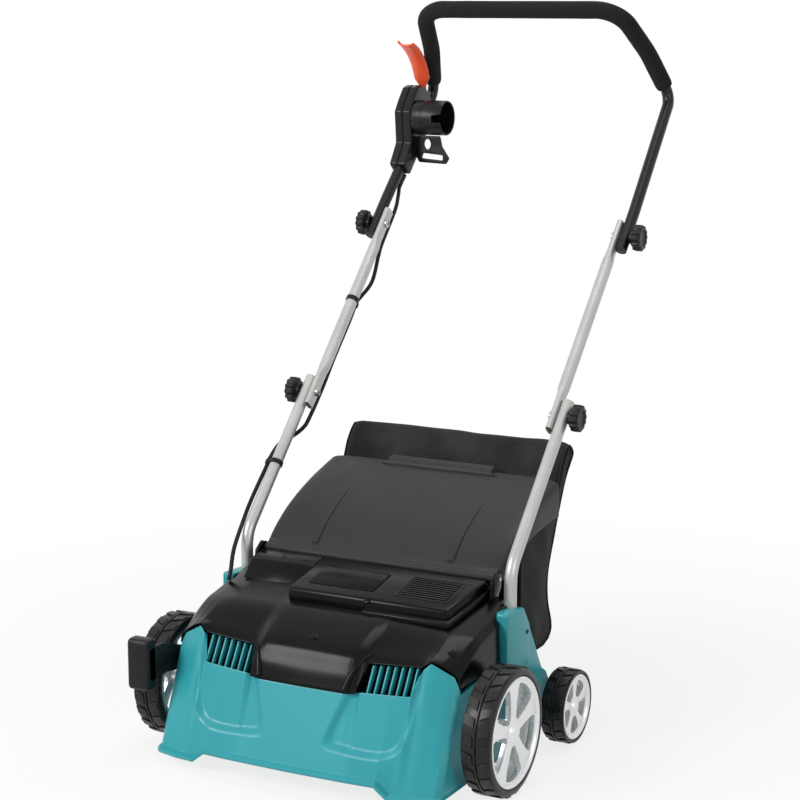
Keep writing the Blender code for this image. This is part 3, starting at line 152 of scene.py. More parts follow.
# Deck.
# The teal body is one injection moulding in tinted plastic: a lipped front wall with two sunk
# panels, side walls, tube sockets and rear cheeks. Its finish is satin with a very fine grain.
def moulded(name, colour, roughness, grain=900.0, relief=0.06, mottle=0.10, metallic=0.0, coat=0.0,
            patches=14.0, shine=0.5):
    """A moulded or coated finish: cloudy colour, uneven gloss and a fine raised grain."""
    made = bpy.data.materials.new(name)
    made.use_nodes = True
    tree = made.node_tree
    shader = fill(tree.nodes["Principled BSDF"], {"Metallic": metallic, "Specular IOR Level": shine,
                                                  "Coat Weight": coat, "Coat Roughness": 0.08})
    where = node(tree, "ShaderNodeTexCoord")
    cloud = node(tree, "ShaderNodeTexNoise", {"Scale": patches, "Detail": 5.0})
    tint = node(tree, "ShaderNodeValToRGB")
    for stop, position, tone in zip(tint.color_ramp.elements, (0.3, 0.7), (1 - mottle, 1 + mottle)):
        stop.position = position
        stop.color = (*[min(1.0, c * tone) for c in colour], 1.0)
    gloss = node(tree, "ShaderNodeMapRange", {"From Min": 0.3, "From Max": 0.7, "To Min": roughness * 0.85,
                                              "To Max": min(1.0, roughness * 1.18)})
    speck = node(tree, "ShaderNodeTexNoise", {"Scale": grain, "Detail": 2.0})
    raised = node(tree, "ShaderNodeBump", {"Strength": relief, "Distance": 0.001})
    wire(tree, (where, "Object", cloud, "Vector"), (cloud, "Fac", tint, "Fac"),
         (tint, "Color", shader, "Base Color"), (cloud, "Fac", gloss, "Value"),
         (gloss, "Result", shader, "Roughness"), (where, "Object", speck, "Vector"),
         (speck, "Fac", raised, "Height"), (raised, "Normal", shader, "Normal"))
    return made


def baked(obj):
    """The object's mesh as its modifiers leave it."""
    bpy.context.view_layer.update()
    return bpy.data.meshes.new_from_object(obj.evaluated_get(bpy.context.evaluated_depsgraph_get()))


def piece(name, bm, finish, body, *nodes, wall=0.0, edge=0.0, smooth=38.0, segments=2, closed=True):
    """A finished piece in its place, with its wall and edges made, riding on a body if one is named."""
    bmesh.ops.remove_doubles(bm, verts=bm.verts, dist=1e-6)
    if closed and not wall:
        bmesh.ops.recalc_face_normals(bm, faces=bm.faces)
    bmesh.ops.translate(bm, vec=(0, axle_y, 0), verts=bm.verts)
    mesh = bpy.data.meshes.new(name)
    bm.to_mesh(mesh)
    bm.free()
    made = placed(name, mesh)
    if wall:
        step = made.modifiers.new("wall", "SOLIDIFY")
        step.thickness = wall
        step.offset = -1.0
        step.use_even_offset = True
    if edge:
        step = made.modifiers.new("edge", "BEVEL")
        step.width = edge
        step.segments = segments
        step.limit_method = "ANGLE"
        step.angle_limit = math.radians(32)
        step.use_clamp_overlap = True
    if made.modifiers:
        mesh = baked(made)
        made.modifiers.clear()
        made.data = mesh
    mesh.materials.clear()
    mesh.materials.append(finish)
    mesh.shade_smooth()
    mesh.set_sharp_from_angle(angle=math.radians(smooth))
    if body:
        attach(made, body)
    if nodes:
        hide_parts(*nodes)
    return made


def surface(bm, rows):
    """Faces over rows of points, facing outwards for rows round the machine's right-hand half."""
    grid = [[bm.verts.new(p) for p in row] for row in rows]
    for low, high in zip(grid, grid[1:]):
        for a, b, c, d in zip(low, low[1:], high[1:], high):
            bm.faces.new((a, d, c, b))


def both_sides(bm):
    """Adds the mirror image across the machine's middle."""
    copy = bmesh.ops.duplicate(bm, geom=bm.verts[:] + bm.edges[:] + bm.faces[:])["geom"]
    for vert in [g for g in copy if isinstance(g, bmesh.types.BMVert)]:
        vert.co.x = -vert.co.x
    bmesh.ops.reverse_faces(bm, faces=[g for g in copy if isinstance(g, bmesh.types.BMFace)])
    bmesh.ops.remove_doubles(bm, verts=bm.verts, dist=1e-5)


def prism(bm, outline, low, high, axis="X"):
    """A straight-sided solid over (y, z) points along X, or (x, z) along Y, or (x, y) along Z."""
    def put(u, v, w):
        return {"X": (w, u, v), "Y": (u, w, v), "Z": (u, v, w)}[axis]
    ends = [[bm.verts.new(put(u, v, w)) for u, v in outline] for w in sorted((low, high))]
    for a, b, c, d in zip(ends[0], ends[0][1:] + ends[0][:1], ends[1][1:] + ends[1][:1], ends[1]):
        bm.faces.new((a, b, c, d))
    bm.faces.new(ends[0][::-1])
    bm.faces.new(ends[1])
    return bm


def polar(radius, angle):
    """A point of a circle round the origin."""
    return (radius * math.cos(angle), radius * math.sin(angle))


def circle(u, v, radius, count=32):
    """An outline round a point. It runs the other way round for a negative count."""
    spots = [polar(radius, math.tau * k / count) for k in range(abs(count))]
    return [(u + a, v + b) for a, b in spots]


def softened(corners, radius, steps=5):
    """A closed outline with its corners turned into arcs."""
    out = []
    count = len(corners)
    for k in range(count):
        before, here, after = (Vector(corners[j % count]) for j in (k - 1, k, k + 1))
        back = (before - here).normalized()
        ahead = (after - here).normalized()
        half = back.angle(ahead) / 2
        longest = 0.45 * min((before - here).length, (after - here).length)
        reach = min(radius / math.tan(half), longest)
        start = here + back * reach
        end = here + ahead * reach
        for s in range(steps + 1):
            t = s / steps
            out.append(tuple((1 - t) ** 2 * start + 2 * t * (1 - t) * here + t * t * end))
    return out


def between(rows, count):
    """Straight steps between rows of points."""
    out = []
    for low, high in zip(rows, rows[1:]):
        for k in range(count):
            out.append([a.lerp(b, k / count) for a, b in zip(low, high)])
    return [*out, rows[-1]]


teal = moulded("teal_satin_plastic", (0.030, 0.355, 0.400), 0.34, relief=0.05, mottle=0.05, patches=9.0,
               shine=0.36)
# Columns from the lip's crease up to the top edge, from the middle of the front round to the rear.
columns = (
    ((0.000, -0.1370, 0.040), (0.000, -0.0985, 0.1460)),
    ((0.076, -0.1358, 0.040), (0.076, -0.0970, 0.1460)),
    ((0.088, -0.1355, 0.040), (0.088, -0.0945, 0.1470)),
    ((0.096, -0.1352, 0.040), (0.096, -0.0995, 0.1500)),
    ((0.1425, -0.1326, 0.040), (0.1425, -0.0965, 0.1525)),
    ((0.1625, -0.1310, 0.024), (0.1625, -0.0950, 0.1535)),
    ((0.174, -0.1300, 0.024), (0.174, -0.0940, 0.1545)),
    ((0.184, -0.1290, 0.024), (0.184, -0.0670, 0.1900)),
    ((0.194, -0.1280, 0.024), (0.194, -0.0620, 0.1995)),
    ((0.228, -0.1200, 0.024), (0.226, -0.0530, 0.1815)),
    ((0.2355, -0.1100, 0.024), (0.2345, -0.0530, 0.1655)),
    ((0.2365, -0.0900, 0.024), (0.2365, -0.0535, 0.1570)),
    ((0.2365, 0.0050, 0.024), (0.2365, 0.0050, 0.1625)),
    ((0.2365, 0.0790, 0.024), (0.2365, 0.0790, 0.1660)),
    ((0.2365, 0.1400, 0.024), (0.2365, 0.1400, 0.2200)),
    ((0.2365, 0.2080, 0.034), (0.2365, 0.2080, 0.1220)),
    ((0.2365, 0.2320, 0.040), (0.2365, 0.2320, 0.0960)),
)
panel = ((0.046, 0.070), (0.148, 0.064), (0.170, 0.074), (0.182, 0.096), (0.189, 0.150), (0.189, 0.230),
         (0.104, 0.230))


def sunk(x, z):
    """Depth of the sunk front panels at a place on the front wall, with rounded corners and soft edges."""
    sharpness = 160.0
    slope = 0.0115
    depth = 0.0078
    gathered = 0.0
    for a, b in zip(panel, panel[1:] + panel[:1]):
        side = (Vector(b) - Vector(a)).normalized()
        inward = Vector((-side.y, side.x))
        gathered += math.exp(-sharpness * (Vector((x, z)) - Vector(a)).dot(inward))
    t = max(0.0, min(1.0, (0.002 - math.log(gathered) / sharpness) / slope))
    fade = max(0.0, min(1.0, (0.188 - z) / 0.034))
    return depth * t * t * (3 - 2 * t) * fade


rise = 56
rows = []
for low, high in columns:
    low = Vector(low)
    high = Vector(high)
    front = min(1.0, max(0.0, (-low.y - 0.085) / 0.03))
    lip = Vector((low.x + (0.002 if low.x else 0), low.y - 0.009 * front - 0.0005, low.z - 0.004))
    rows.append([lip, lip.lerp(low, 0.5) + Vector((0, 0, 0.0006)),
                 *[low.lerp(high, k / rise) for k in range(rise + 1)]])
front_end = 0.19
fine = []
for low, high in zip(rows, rows[1:]):
    pitch = 0.0024 if low[2].x < front_end else 0.012
    fine += between([low, high], max(1, round((high[2] - low[2]).length / pitch)))[:-1]
fine.append(rows[-1])
for row in fine:
    for point in row[2:]:
        if point.x < front_end:
            point.y += sunk(point.x, point.z)
bm = bmesh.new()
surface(bm, fine)
both_sides(bm)
piece("deck_shell", bm, teal, "chassis", "deck_housing", wall=0.005, edge=0.0012, smooth=40.0)

# Tube sockets, rear cheeks and axle hangers, all part of the deck moulding.
rear_axle = (0.241, 0.0575)
socket = [(0.080, 0.152), (0.080, 0.2405), (0.138, 0.2365), (0.160, 0.205), (0.160, 0.118), (0.118, 0.118)]
cheek = [(0.120, 0.060), (0.120, 0.220), (0.142, 0.233), (0.2078, 0.124), (0.224, 0.114), (0.2345, 0.098),
         (0.2345, 0.046)]
bm = bmesh.new()
for side in (-1, 1):
    prism(bm, softened(socket, 0.006), side * 0.2115, side * 0.2455)
    for vert in bm.verts:
        if abs(vert.co.x) < 0.2116:
            vert.co.x = side * (0.2268 if vert.co.z > 0.215 and vert.co.y < 0.113 else 0.2182)
    prism(bm, softened(cheek, 0.005), side * 0.2348, side * 0.2448)
    prism(bm, circle(*rear_axle, 0.013), side * 0.2352, side * 0.2444)
piece("deck_sockets", bm, teal, "chassis", edge=0.0022, segments=3)

# Motor floor, reel tunnel, chute wall, ramp and end plates inside the deck.
reel_y, reel_z = 0.115, 0.074
tunnel = [polar(0.071, math.radians(a)) for a in range(208, 103, -7)]
sheet = [*[(reel_y + u, reel_z + v) for u, v in tunnel], (0.110, 0.225), (0.114, 0.2415)]
plan = [(0.160, -0.086), (0.190, -0.078), (0.220, -0.062), (0.231, -0.050), (0.231, 0.064)]
ramp = [(0.186, 0.046), (0.192, 0.075), (0.222, 0.1235), (0.2335, 0.125)]
end_plate = [(0.040, 0.028), (0.040, 0.128), (0.060, 0.150), (0.104, 0.236), (0.116, 0.2425), (0.150, 0.222),
             (0.230, 0.125), (0.230, 0.046), (0.200, 0.032)]
tunnel_half = 0.206
bm = bmesh.new()
prism(bm, sheet + [(y - 0.0033, z + 0.0012) for y, z in sheet[::-1]], -tunnel_half, tunnel_half)
prism(bm, plan + [(-x, y) for x, y in plan[::-1]], 0.1255, 0.129, "Z")
prism(bm, ramp + [(y + 0.0028, z - 0.0018) for y, z in ramp[::-1]], -tunnel_half, tunnel_half)
for side in (-1, 1):
    prism(bm, end_plate, side * 0.204, side * 0.208)
    prism(bm, circle(reel_y, reel_z, 0.020, 40), side * 0.207, side * 0.215)
piece("deck_tunnel", bm, teal, "chassis", edge=0.0006, segments=1)


# Louvre slats.
# Thin upright fins of the same moulding, leaning back from the sill to the cover's rim,
# in front of a matt black sheet that hides the motor: painted shade standing for the dark inside of the deck.
def pattern(name, result, inputs):
    """A node tree that copies a shape: the tree, its inputs' identifiers and its first and last nodes."""
    tree = bpy.data.node_groups.new(name, "GeometryNodeTree")
    sockets = {}
    for label, kind in inputs.items():
        made = tree.interface.new_socket(label, in_out="INPUT", socket_type="NodeSocket" + kind)
        sockets[label] = made.identifier
    tree.interface.new_socket(result, in_out="OUTPUT", socket_type="NodeSocketGeometry")
    given = node(tree, "NodeGroupInput")
    copies = node(tree, "GeometryNodeInstanceOnPoints")
    real = node(tree, "GeometryNodeRealizeInstances")
    paint = node(tree, "GeometryNodeSetMaterial")
    wire(tree, (copies, "Instances", real, "Geometry"), (given, "Finish", paint, "Material"),
         (paint, "Geometry", node(tree, "NodeGroupOutput"), result))
    return tree, sockets, given, copies, real, paint


def repeated(obj, tree, sockets, values):
    """The object's mesh as a node tree leaves it, made plain."""
    step = obj.modifiers.new(tree.name, "NODES")
    step.node_group = tree
    for label, value in values.items():
        step[sockets[label]] = value
    mesh = baked(obj)
    obj.modifiers.remove(step)
    obj.data = mesh


row_tree, row_sockets, given, copies, real, paint = pattern(
    "slats_in_a_row", "Slats", {"Slat": "Geometry", "Count": "Int", "Pitch": "Vector", "Finish": "Material"})
line = node(row_tree, "GeometryNodeMeshLine", mode="OFFSET")
wire(row_tree, (given, "Count", line, "Count"), (given, "Pitch", line, "Offset"),
     (line, "Mesh", copies, "Points"), (given, "Slat", copies, "Instance"),
     (real, "Geometry", paint, "Geometry"))
# Matt near black for the sheet behind the louvres and the insides of the cover's holes: painted shade.
shade_black = moulded("painted_shade_black", (0.005, 0.005, 0.005), 0.6, shine=0.1)
hands = ((-1, "left"), (1, "right"))
for side, hand in hands:
    x = side * 0.103
    slat = [(-0.0885, 0.1460), (-0.0780, 0.1460), (-0.0500, 0.184), (-0.0655, 0.184)]
    slats = piece("louvre_slats_" + hand, prism(bmesh.new(), slat, x - 0.0014, x + 0.0014), teal, "chassis",
                  edge=0.0006)
    repeated(slats, row_tree, row_sockets,
             {"Count": 7, "Pitch": (side * 0.0115, 0.0008, 0.0010), "Finish": teal})
    wall = [(-0.0585, 0.129), (-0.0535, 0.129), (-0.0535, 0.180), (-0.0585, 0.180)]
    piece("louvre_shade_sheet_" + hand, prism(bmesh.new(), wall, side * 0.090, side * 0.192), shade_black, "chassis",
          edge=0.0008)

# Motor cover.
# A glossy black lid moulded in one shell, with a nose between the louvres, stepped raised
# blocks on top, an air grille and countersunk screw holes. It rests on the deck's walls.
gloss_black = moulded("cover_gloss_black", (0.0040, 0.0040, 0.0040), 0.20, grain=500.0, relief=0.02,
                      mottle=0.12, shine=0.12)
# Lines of (y, z) points from the front rim to the rear edge, from the middle out to the side.
stations = (
    (0.000, ((-0.0992, 0.1467), (-0.085, 0.178), (-0.066, 0.2035), (-0.010, 0.2300), (0.035, 0.2385),
             (0.130, 0.2580))),
    (0.070, ((-0.0978, 0.1467), (-0.0842, 0.178), (-0.0652, 0.2031), (-0.010, 0.2296), (0.035, 0.2381),
             (0.130, 0.2576))),
    (0.079, ((-0.0971, 0.1470), (-0.0835, 0.1778), (-0.0645, 0.2022), (-0.0098, 0.2293), (0.035, 0.2379),
             (0.130, 0.2574))),
    (0.088, ((-0.0950, 0.1480), (-0.080, 0.1775), (-0.062, 0.1990), (-0.009, 0.2285), (0.035, 0.2375),
             (0.130, 0.2570))),
    (0.096, ((-0.0680, 0.1875), (-0.060, 0.195), (-0.046, 0.2040), (-0.008, 0.2275), (0.035, 0.2370),
             (0.130, 0.2565))),
    (0.140, ((-0.0665, 0.1902), (-0.0585, 0.1975), (-0.045, 0.2058), (-0.007, 0.2268), (0.0355, 0.2360),
             (0.130, 0.2553))),
    (0.180, ((-0.0650, 0.1930), (-0.057, 0.200), (-0.044, 0.2075), (-0.006, 0.2260), (0.036, 0.2350),
             (0.130, 0.2540))),
    (0.194, ((-0.0620, 0.2040), (-0.055, 0.2068), (-0.042, 0.2108), (-0.004, 0.2250), (0.037, 0.2335),
             (0.130, 0.2520))),
    (0.210, ((-0.0580, 0.1970), (-0.051, 0.2010), (-0.038, 0.2068), (-0.001, 0.2228), (0.0385, 0.2313),
             (0.130, 0.2490))),
    (0.226, ((-0.0530, 0.1860), (-0.046, 0.1910), (-0.034, 0.1990), (0.002, 0.2190), (0.040, 0.2275),
             (0.130, 0.2450))),
    (0.2345, ((-0.0530, 0.1790), (-0.046, 0.1830), (-0.033, 0.1900), (0.004, 0.2100), (0.041, 0.2185),
              (0.130, 0.2360))),
    (0.2365, ((-0.0535, 0.1660), (-0.045, 0.1660), (-0.030, 0.1665), (0.005, 0.1670), (0.041, 0.1680),
              (0.130, 0.1700))),
)


def curve_through(points, count):
    """Steps along a smooth curve through points."""
    points = [Vector(p) for p in points]
    ends = [2 * points[0] - points[1], *points, 2 * points[-1] - points[-2]]
    out = []
    for a, b, c, d in zip(ends, ends[1:], ends[2:], ends[3:]):
        for k in range(count):
            t = k / count
            out.append(0.5 * (2 * b + (c - a) * t + (2 * a - 5 * b + 4 * c - d) * t * t
                              + (3 * b - a - 3 * c + d) * t ** 3))
    return [*out, points[-1]]


def skin(bm, rings, closed=False, capped=False, open_rows=False):
    """Faces between rings of corners, joined end to end or capped where asked."""
    for a, b in zip(rings, rings[1:] + (rings[:1] if closed else [])):
        for j in range(len(a) - open_rows):
            n = (j + 1) % len(a)
            bm.faces.new((a[j], a[n], b[n], b[j]))
    if capped:
        bm.faces.new(rings[0][::-1])
        bm.faces.new(rings[-1])
    return bm


def stops(path, closed=False):
    """The points of a route, each with two directions across it that turn no more than they must."""
    path = [Vector(p) for p in path]
    last = len(path) - 1
    normal = None
    out = []
    for k, p in enumerate(path):
        ahead = path[(k + 1) % len(path) if closed else min(k + 1, last)]
        behind = path[k - 1 if closed else max(k - 1, 0)]
        along = (ahead - behind).normalized()
        if normal is None:
            normal = along.orthogonal().normalized()
        normal = (normal - along * normal.dot(along)).normalized()
        out.append((p, normal, along.cross(normal)))
    return out


def around(bm, stop, radius, sides):
    """A ring of corners round a stop of a route."""
    p, normal, side = stop
    turns = [polar(1.0, math.tau * j / sides) for j in range(sides)]
    return [bm.verts.new(p + (normal * c + side * s) * radius) for c, s in turns]


def swept(bm, path, radius, sides=20, closed=False):
    """A round bar along a route, capped at its ends."""
    radii = radius if isinstance(radius, list) else [radius] * len(path)
    rings = [around(bm, stop, r, sides) for stop, r in zip(stops(path, closed), radii)]
    return skin(bm, rings, closed, capped=not closed)


bm = bmesh.new()
surface(bm, between([curve_through([(x, y, z) for y, z in line], 7) for x, line in stations], 4))
both_sides(bm)
# Room for the deck's tube sockets at the rear corners.
gone = []
for face in bm.faces:
    middle = face.calc_center_median()
    if abs(middle.x) > (0.2262 if middle.y < 0.113 else 0.2178) and middle.y > 0.079:
        gone.append(face)
bmesh.ops.delete(bm, geom=gone, context="FACES")
piece("cover_shell", bm, gloss_black, "chassis", "motor_cover", wall=0.003, edge=0.0012, smooth=32.0)


def top_of(y):
    """Height of the raised blocks' top, which climbs towards the rear."""
    return 0.250 + 0.20 * y


def block(name, outline, drop, depth, edge, finish=gloss_black, *nodes, segments=3):
    """A block over (x, y) points, from a depth up to a drop below the raised top."""
    bm = prism(bmesh.new(), outline, 0.0, 1.0, "Z")
    for vert in bm.verts:
        vert.co.z = top_of(vert.co.y) - (drop if vert.co.z > 0.5 else depth)
    piece(name, bm, finish, "chassis", *nodes, edge=edge, segments=segments)


block("cover_block_upper", [(-0.090, 0.017), (0.180, 0.017), (0.193, 0.126), (-0.090, 0.126)], 0.0, 0.0225,
      0.0062)
block("cover_block_step", [(0.042, 0.006), (0.187, 0.006), (0.1995, 0.1255), (0.042, 0.1255)], 0.013, 0.0228,
      0.003)
left_block = [(y, top_of(y) - sink) for y, sink in ((0.064, 0.023), (0.090, 0.0), (0.1262, 0.0),
                                                    (0.1262, 0.023))]
piece("cover_block_left", prism(bmesh.new(), left_block, -0.200, -0.088), gloss_black, "chassis", edge=0.004,
      segments=3)
bm = bmesh.new()
ear = [(0.108, 0.2452), (0.114, 0.274), (0.130, 0.2850), (0.1425, 0.2815), (0.1425, 0.262), (0.128, 0.2452)]
for side in (-1, 1):
    prism(bm, softened(ear, 0.004), side * 0.2005, side * 0.2065)
# The ledge under the flap's barrel, between the ears.
prism(bm, [(0.1240, 0.2460), (0.1240, 0.2662), (0.1420, 0.2662), (0.1420, 0.2460)], -0.2025, 0.2025)
piece("cover_hinge_ears", bm, gloss_black, "chassis", edge=0.0012)
bm = bmesh.new()
for side in (-1, 1):
    leg = curve_through([(side * x, y, z)
                         for x, y, z in ((0.0715, -0.0955, 0.1512), (0.0765, -0.0870, 0.1690),
                                         (0.0850, -0.0735, 0.1870), (0.0960, -0.0530, 0.1985))], 8)
    swept(bm, leg, [0.0058 - 0.0030 * k / (len(leg) - 1) for k in range(len(leg))])
piece("cover_nose_legs", bm, gloss_black, "chassis", smooth=50.0)
# Each hole's depth is a matt black disc inside its rim: painted shade of the hole's inside.
for name, finish, depths, radius in (("cover_hole_rims", gloss_black, (-0.0010, 0.0008, 0.0012),
                                      [0.0058, 0.0056, 0.0049]),
                                     ("cover_hole_shade_discs", shade_black, (0.0006, 0.0014), 0.0037)):
    bm = bmesh.new()
    for centre, out in (((0.0, -0.0570, 0.2089), (0, -0.43, 0.90)),
                        ((0.047, 0.0190, 0.2515), (0, -0.72, 0.69)),
                        ((0.2115, -0.0320, 0.2090), (0.45, -0.42, 0.79))):
        swept(bm, [Vector(centre) + Vector(out).normalized() * d for d in depths], radius, 32)
    piece(name, bm, finish, "chassis", smooth=40.0)

# Air grille: a sunk frame with slats across it, over the motor.
grille = moulded("grille_black", (0.006, 0.006, 0.006), 0.35, shine=0.22)
first_slat_y = 0.045
bm = prism(bmesh.new(), [(0.086, 0.0), (0.163, 0.0), (0.163, 0.0026), (0.086, 0.0026)], 0.0, 0.0012, "Z")
for vert in bm.verts:
    y = first_slat_y + vert.co.y
    vert.co = Vector((vert.co.x, y, top_of(y) + 0.0002 + vert.co.z))
grille_slats = piece("grille_slats", bm, grille, "chassis", edge=0.0004)
repeated(grille_slats, row_tree, row_sockets, {"Count": 9, "Pitch": (0.0, 0.0062, 0.00124), "Finish": grille})
outer = softened([(0.080, 0.038), (0.169, 0.038), (0.169, 0.104), (0.080, 0.104)], 0.004)
inner = softened([(0.0835, 0.0415), (0.1655, 0.0415), (0.1655, 0.1005), (0.0835, 0.1005)], 0.003)
bm = bmesh.new()
skin(bm, [[bm.verts.new((x, y, top_of(y) + lift)) for x, y in ring]
          for ring, lift in ((outer, 0.0), (outer, 0.0008), (inner, 0.0008), (inner, 0.0))], closed=True)
piece("grille_frame", bm, gloss_black, "chassis", smooth=50.0)

# Badge plate, left bare, and the cover's screws.
badge_finish = moulded("badge_bare_black", (0.0035, 0.0035, 0.0038), 0.16, relief=0.01, shine=0.06)
block("badge_face", softened([(-0.066, 0.040), (0.044, 0.040), (0.044, 0.098), (-0.066, 0.098)], 0.003),
      -0.0014, 0.0008, 0.0006, badge_finish, "badge_plate", segments=2)


def cross_head(bm, centre, out, radius, sides=48):
    """A pan screw head with a cross recess, on a foot point and a direction."""
    place = Matrix.Translation(Vector(centre)) @ Vector(out).to_track_quat("Z", "Y").to_matrix().to_4x4()
    rings = []
    for r in (1.0, 1.0, 0.94, 0.80, 0.66, 0.56, 0.46, 0.36, 0.26, 0.16, 0.08):
        ring = []
        for u, v in circle(0, 0, r, sides):
            height = 0.0 if not rings else 0.62 * math.sqrt(max(0.0, 1.04 - r * r * 0.82))
            if min(abs(u), abs(v)) < 0.13 and r < 0.60:
                height -= 0.34
            ring.append(bm.verts.new(place @ Vector((u * radius, v * radius, height * radius))))
        rings.append(ring)
    return skin(bm, rings, capped=True)


zinc = moulded("zinc_screw", (0.32, 0.32, 0.31), 0.32, grain=1400.0, relief=0.03, metallic=0.95)
# The screw heads are near black: painted shade of the screw recesses, which are not modelled.
recess_shade_screw = moulded("screw_painted_recess_shade", (0.030, 0.030, 0.030), 0.38, grain=1400.0, relief=0.04, metallic=0.6)
for label, x, y in (("cover_screw_left", -0.150, 0.108), ("cover_screw_right", 0.172, 0.106)):
    piece(label + "_head", cross_head(bmesh.new(), (x, y, top_of(y) - 0.0004), (0, -0.2, 1), 0.0040),
          recess_shade_screw, "chassis", label, smooth=50.0)
bm = bmesh.new()
for side in (-1, 1):
    cross_head(bm, (side * 0.2285, 0.0798, 0.2016), (0, -1, 0), 0.0042)
    cross_head(bm, (side * 0.2454, 0.150, 0.196), (side, 0, 0), 0.0034)
piece("socket_screws", bm, recess_shade_screw, "chassis", smooth=50.0)


# Wheels.
# Black moulded tyres with a middle rib and zigzag lugs, on silver-painted plastic rims with
# five thick spokes and a flat hub. Each tyre is pressed over its rim, and they turn together.
def lathe(bm, profile, centre, out, steps, open_rows=False):
    """A profile of (radius, depth outwards) points turned about an axle along X."""
    turned = [[polar(r, math.tau * k / steps) for r, d in profile] for k in range(steps)]
    rings = [[bm.verts.new((centre[0] + out * d, centre[1] + u, centre[2] + v))
              for (u, v), (r, d) in zip(row, profile)]
             for row in turned]
    skin(bm, rings, closed=True, open_rows=open_rows)


def plate(name, loops, thick, bevel, resolution):
    """A flat plate inside an outline, round openings, with rounded edges."""
    curve = bpy.data.curves.new(name, "CURVE")
    curve.dimensions = "2D"
    curve.fill_mode = "BOTH"
    curve.extrude = thick
    curve.bevel_depth = bevel
    curve.bevel_resolution = resolution
    curve.offset = -bevel
    for loop in loops:
        spline = curve.splines.new("POLY")
        spline.points.add(len(loop) - 1)
        spline.use_cyclic_u = True
        for point, (u, v) in zip(spline.points, loop):
            point.co = (u, v, 0, 1)
    sketch = placed(name, curve)
    bm = bmesh.new()
    bm.from_mesh(baked(sketch))
    bpy.data.objects.remove(sketch)
    return bm


ring_tree, ring_sockets, given, copies, real, paint = pattern(
    "lugs_round_a_tyre", "Lugs", {"Lug": "Geometry", "Count": "Int", "Centre": "Vector",
                                  "Finish": "Material"})
line = node(ring_tree, "GeometryNodeMeshLine", {"Offset": (0.0, 0.0, 0.0)}, mode="OFFSET")
number = node(ring_tree, "GeometryNodeInputIndex")
share = node(ring_tree, "ShaderNodeMath", operation="DIVIDE")
angle = node(ring_tree, "ShaderNodeMath", {1: math.tau}, operation="MULTIPLY")
about = node(ring_tree, "ShaderNodeCombineXYZ")
shift = node(ring_tree, "GeometryNodeTransform")
wire(ring_tree, (given, "Count", line, "Count"), (number, 0, share, 0), (given, "Count", share, 1),
     (share, 0, angle, 0), (angle, 0, about, "X"), (line, "Mesh", copies, "Points"),
     (given, "Lug", copies, "Instance"), (about, 0, copies, "Rotation"),
     (real, "Geometry", shift, "Geometry"), (given, "Centre", shift, "Translation"),
     (shift, "Geometry", paint, "Geometry"))

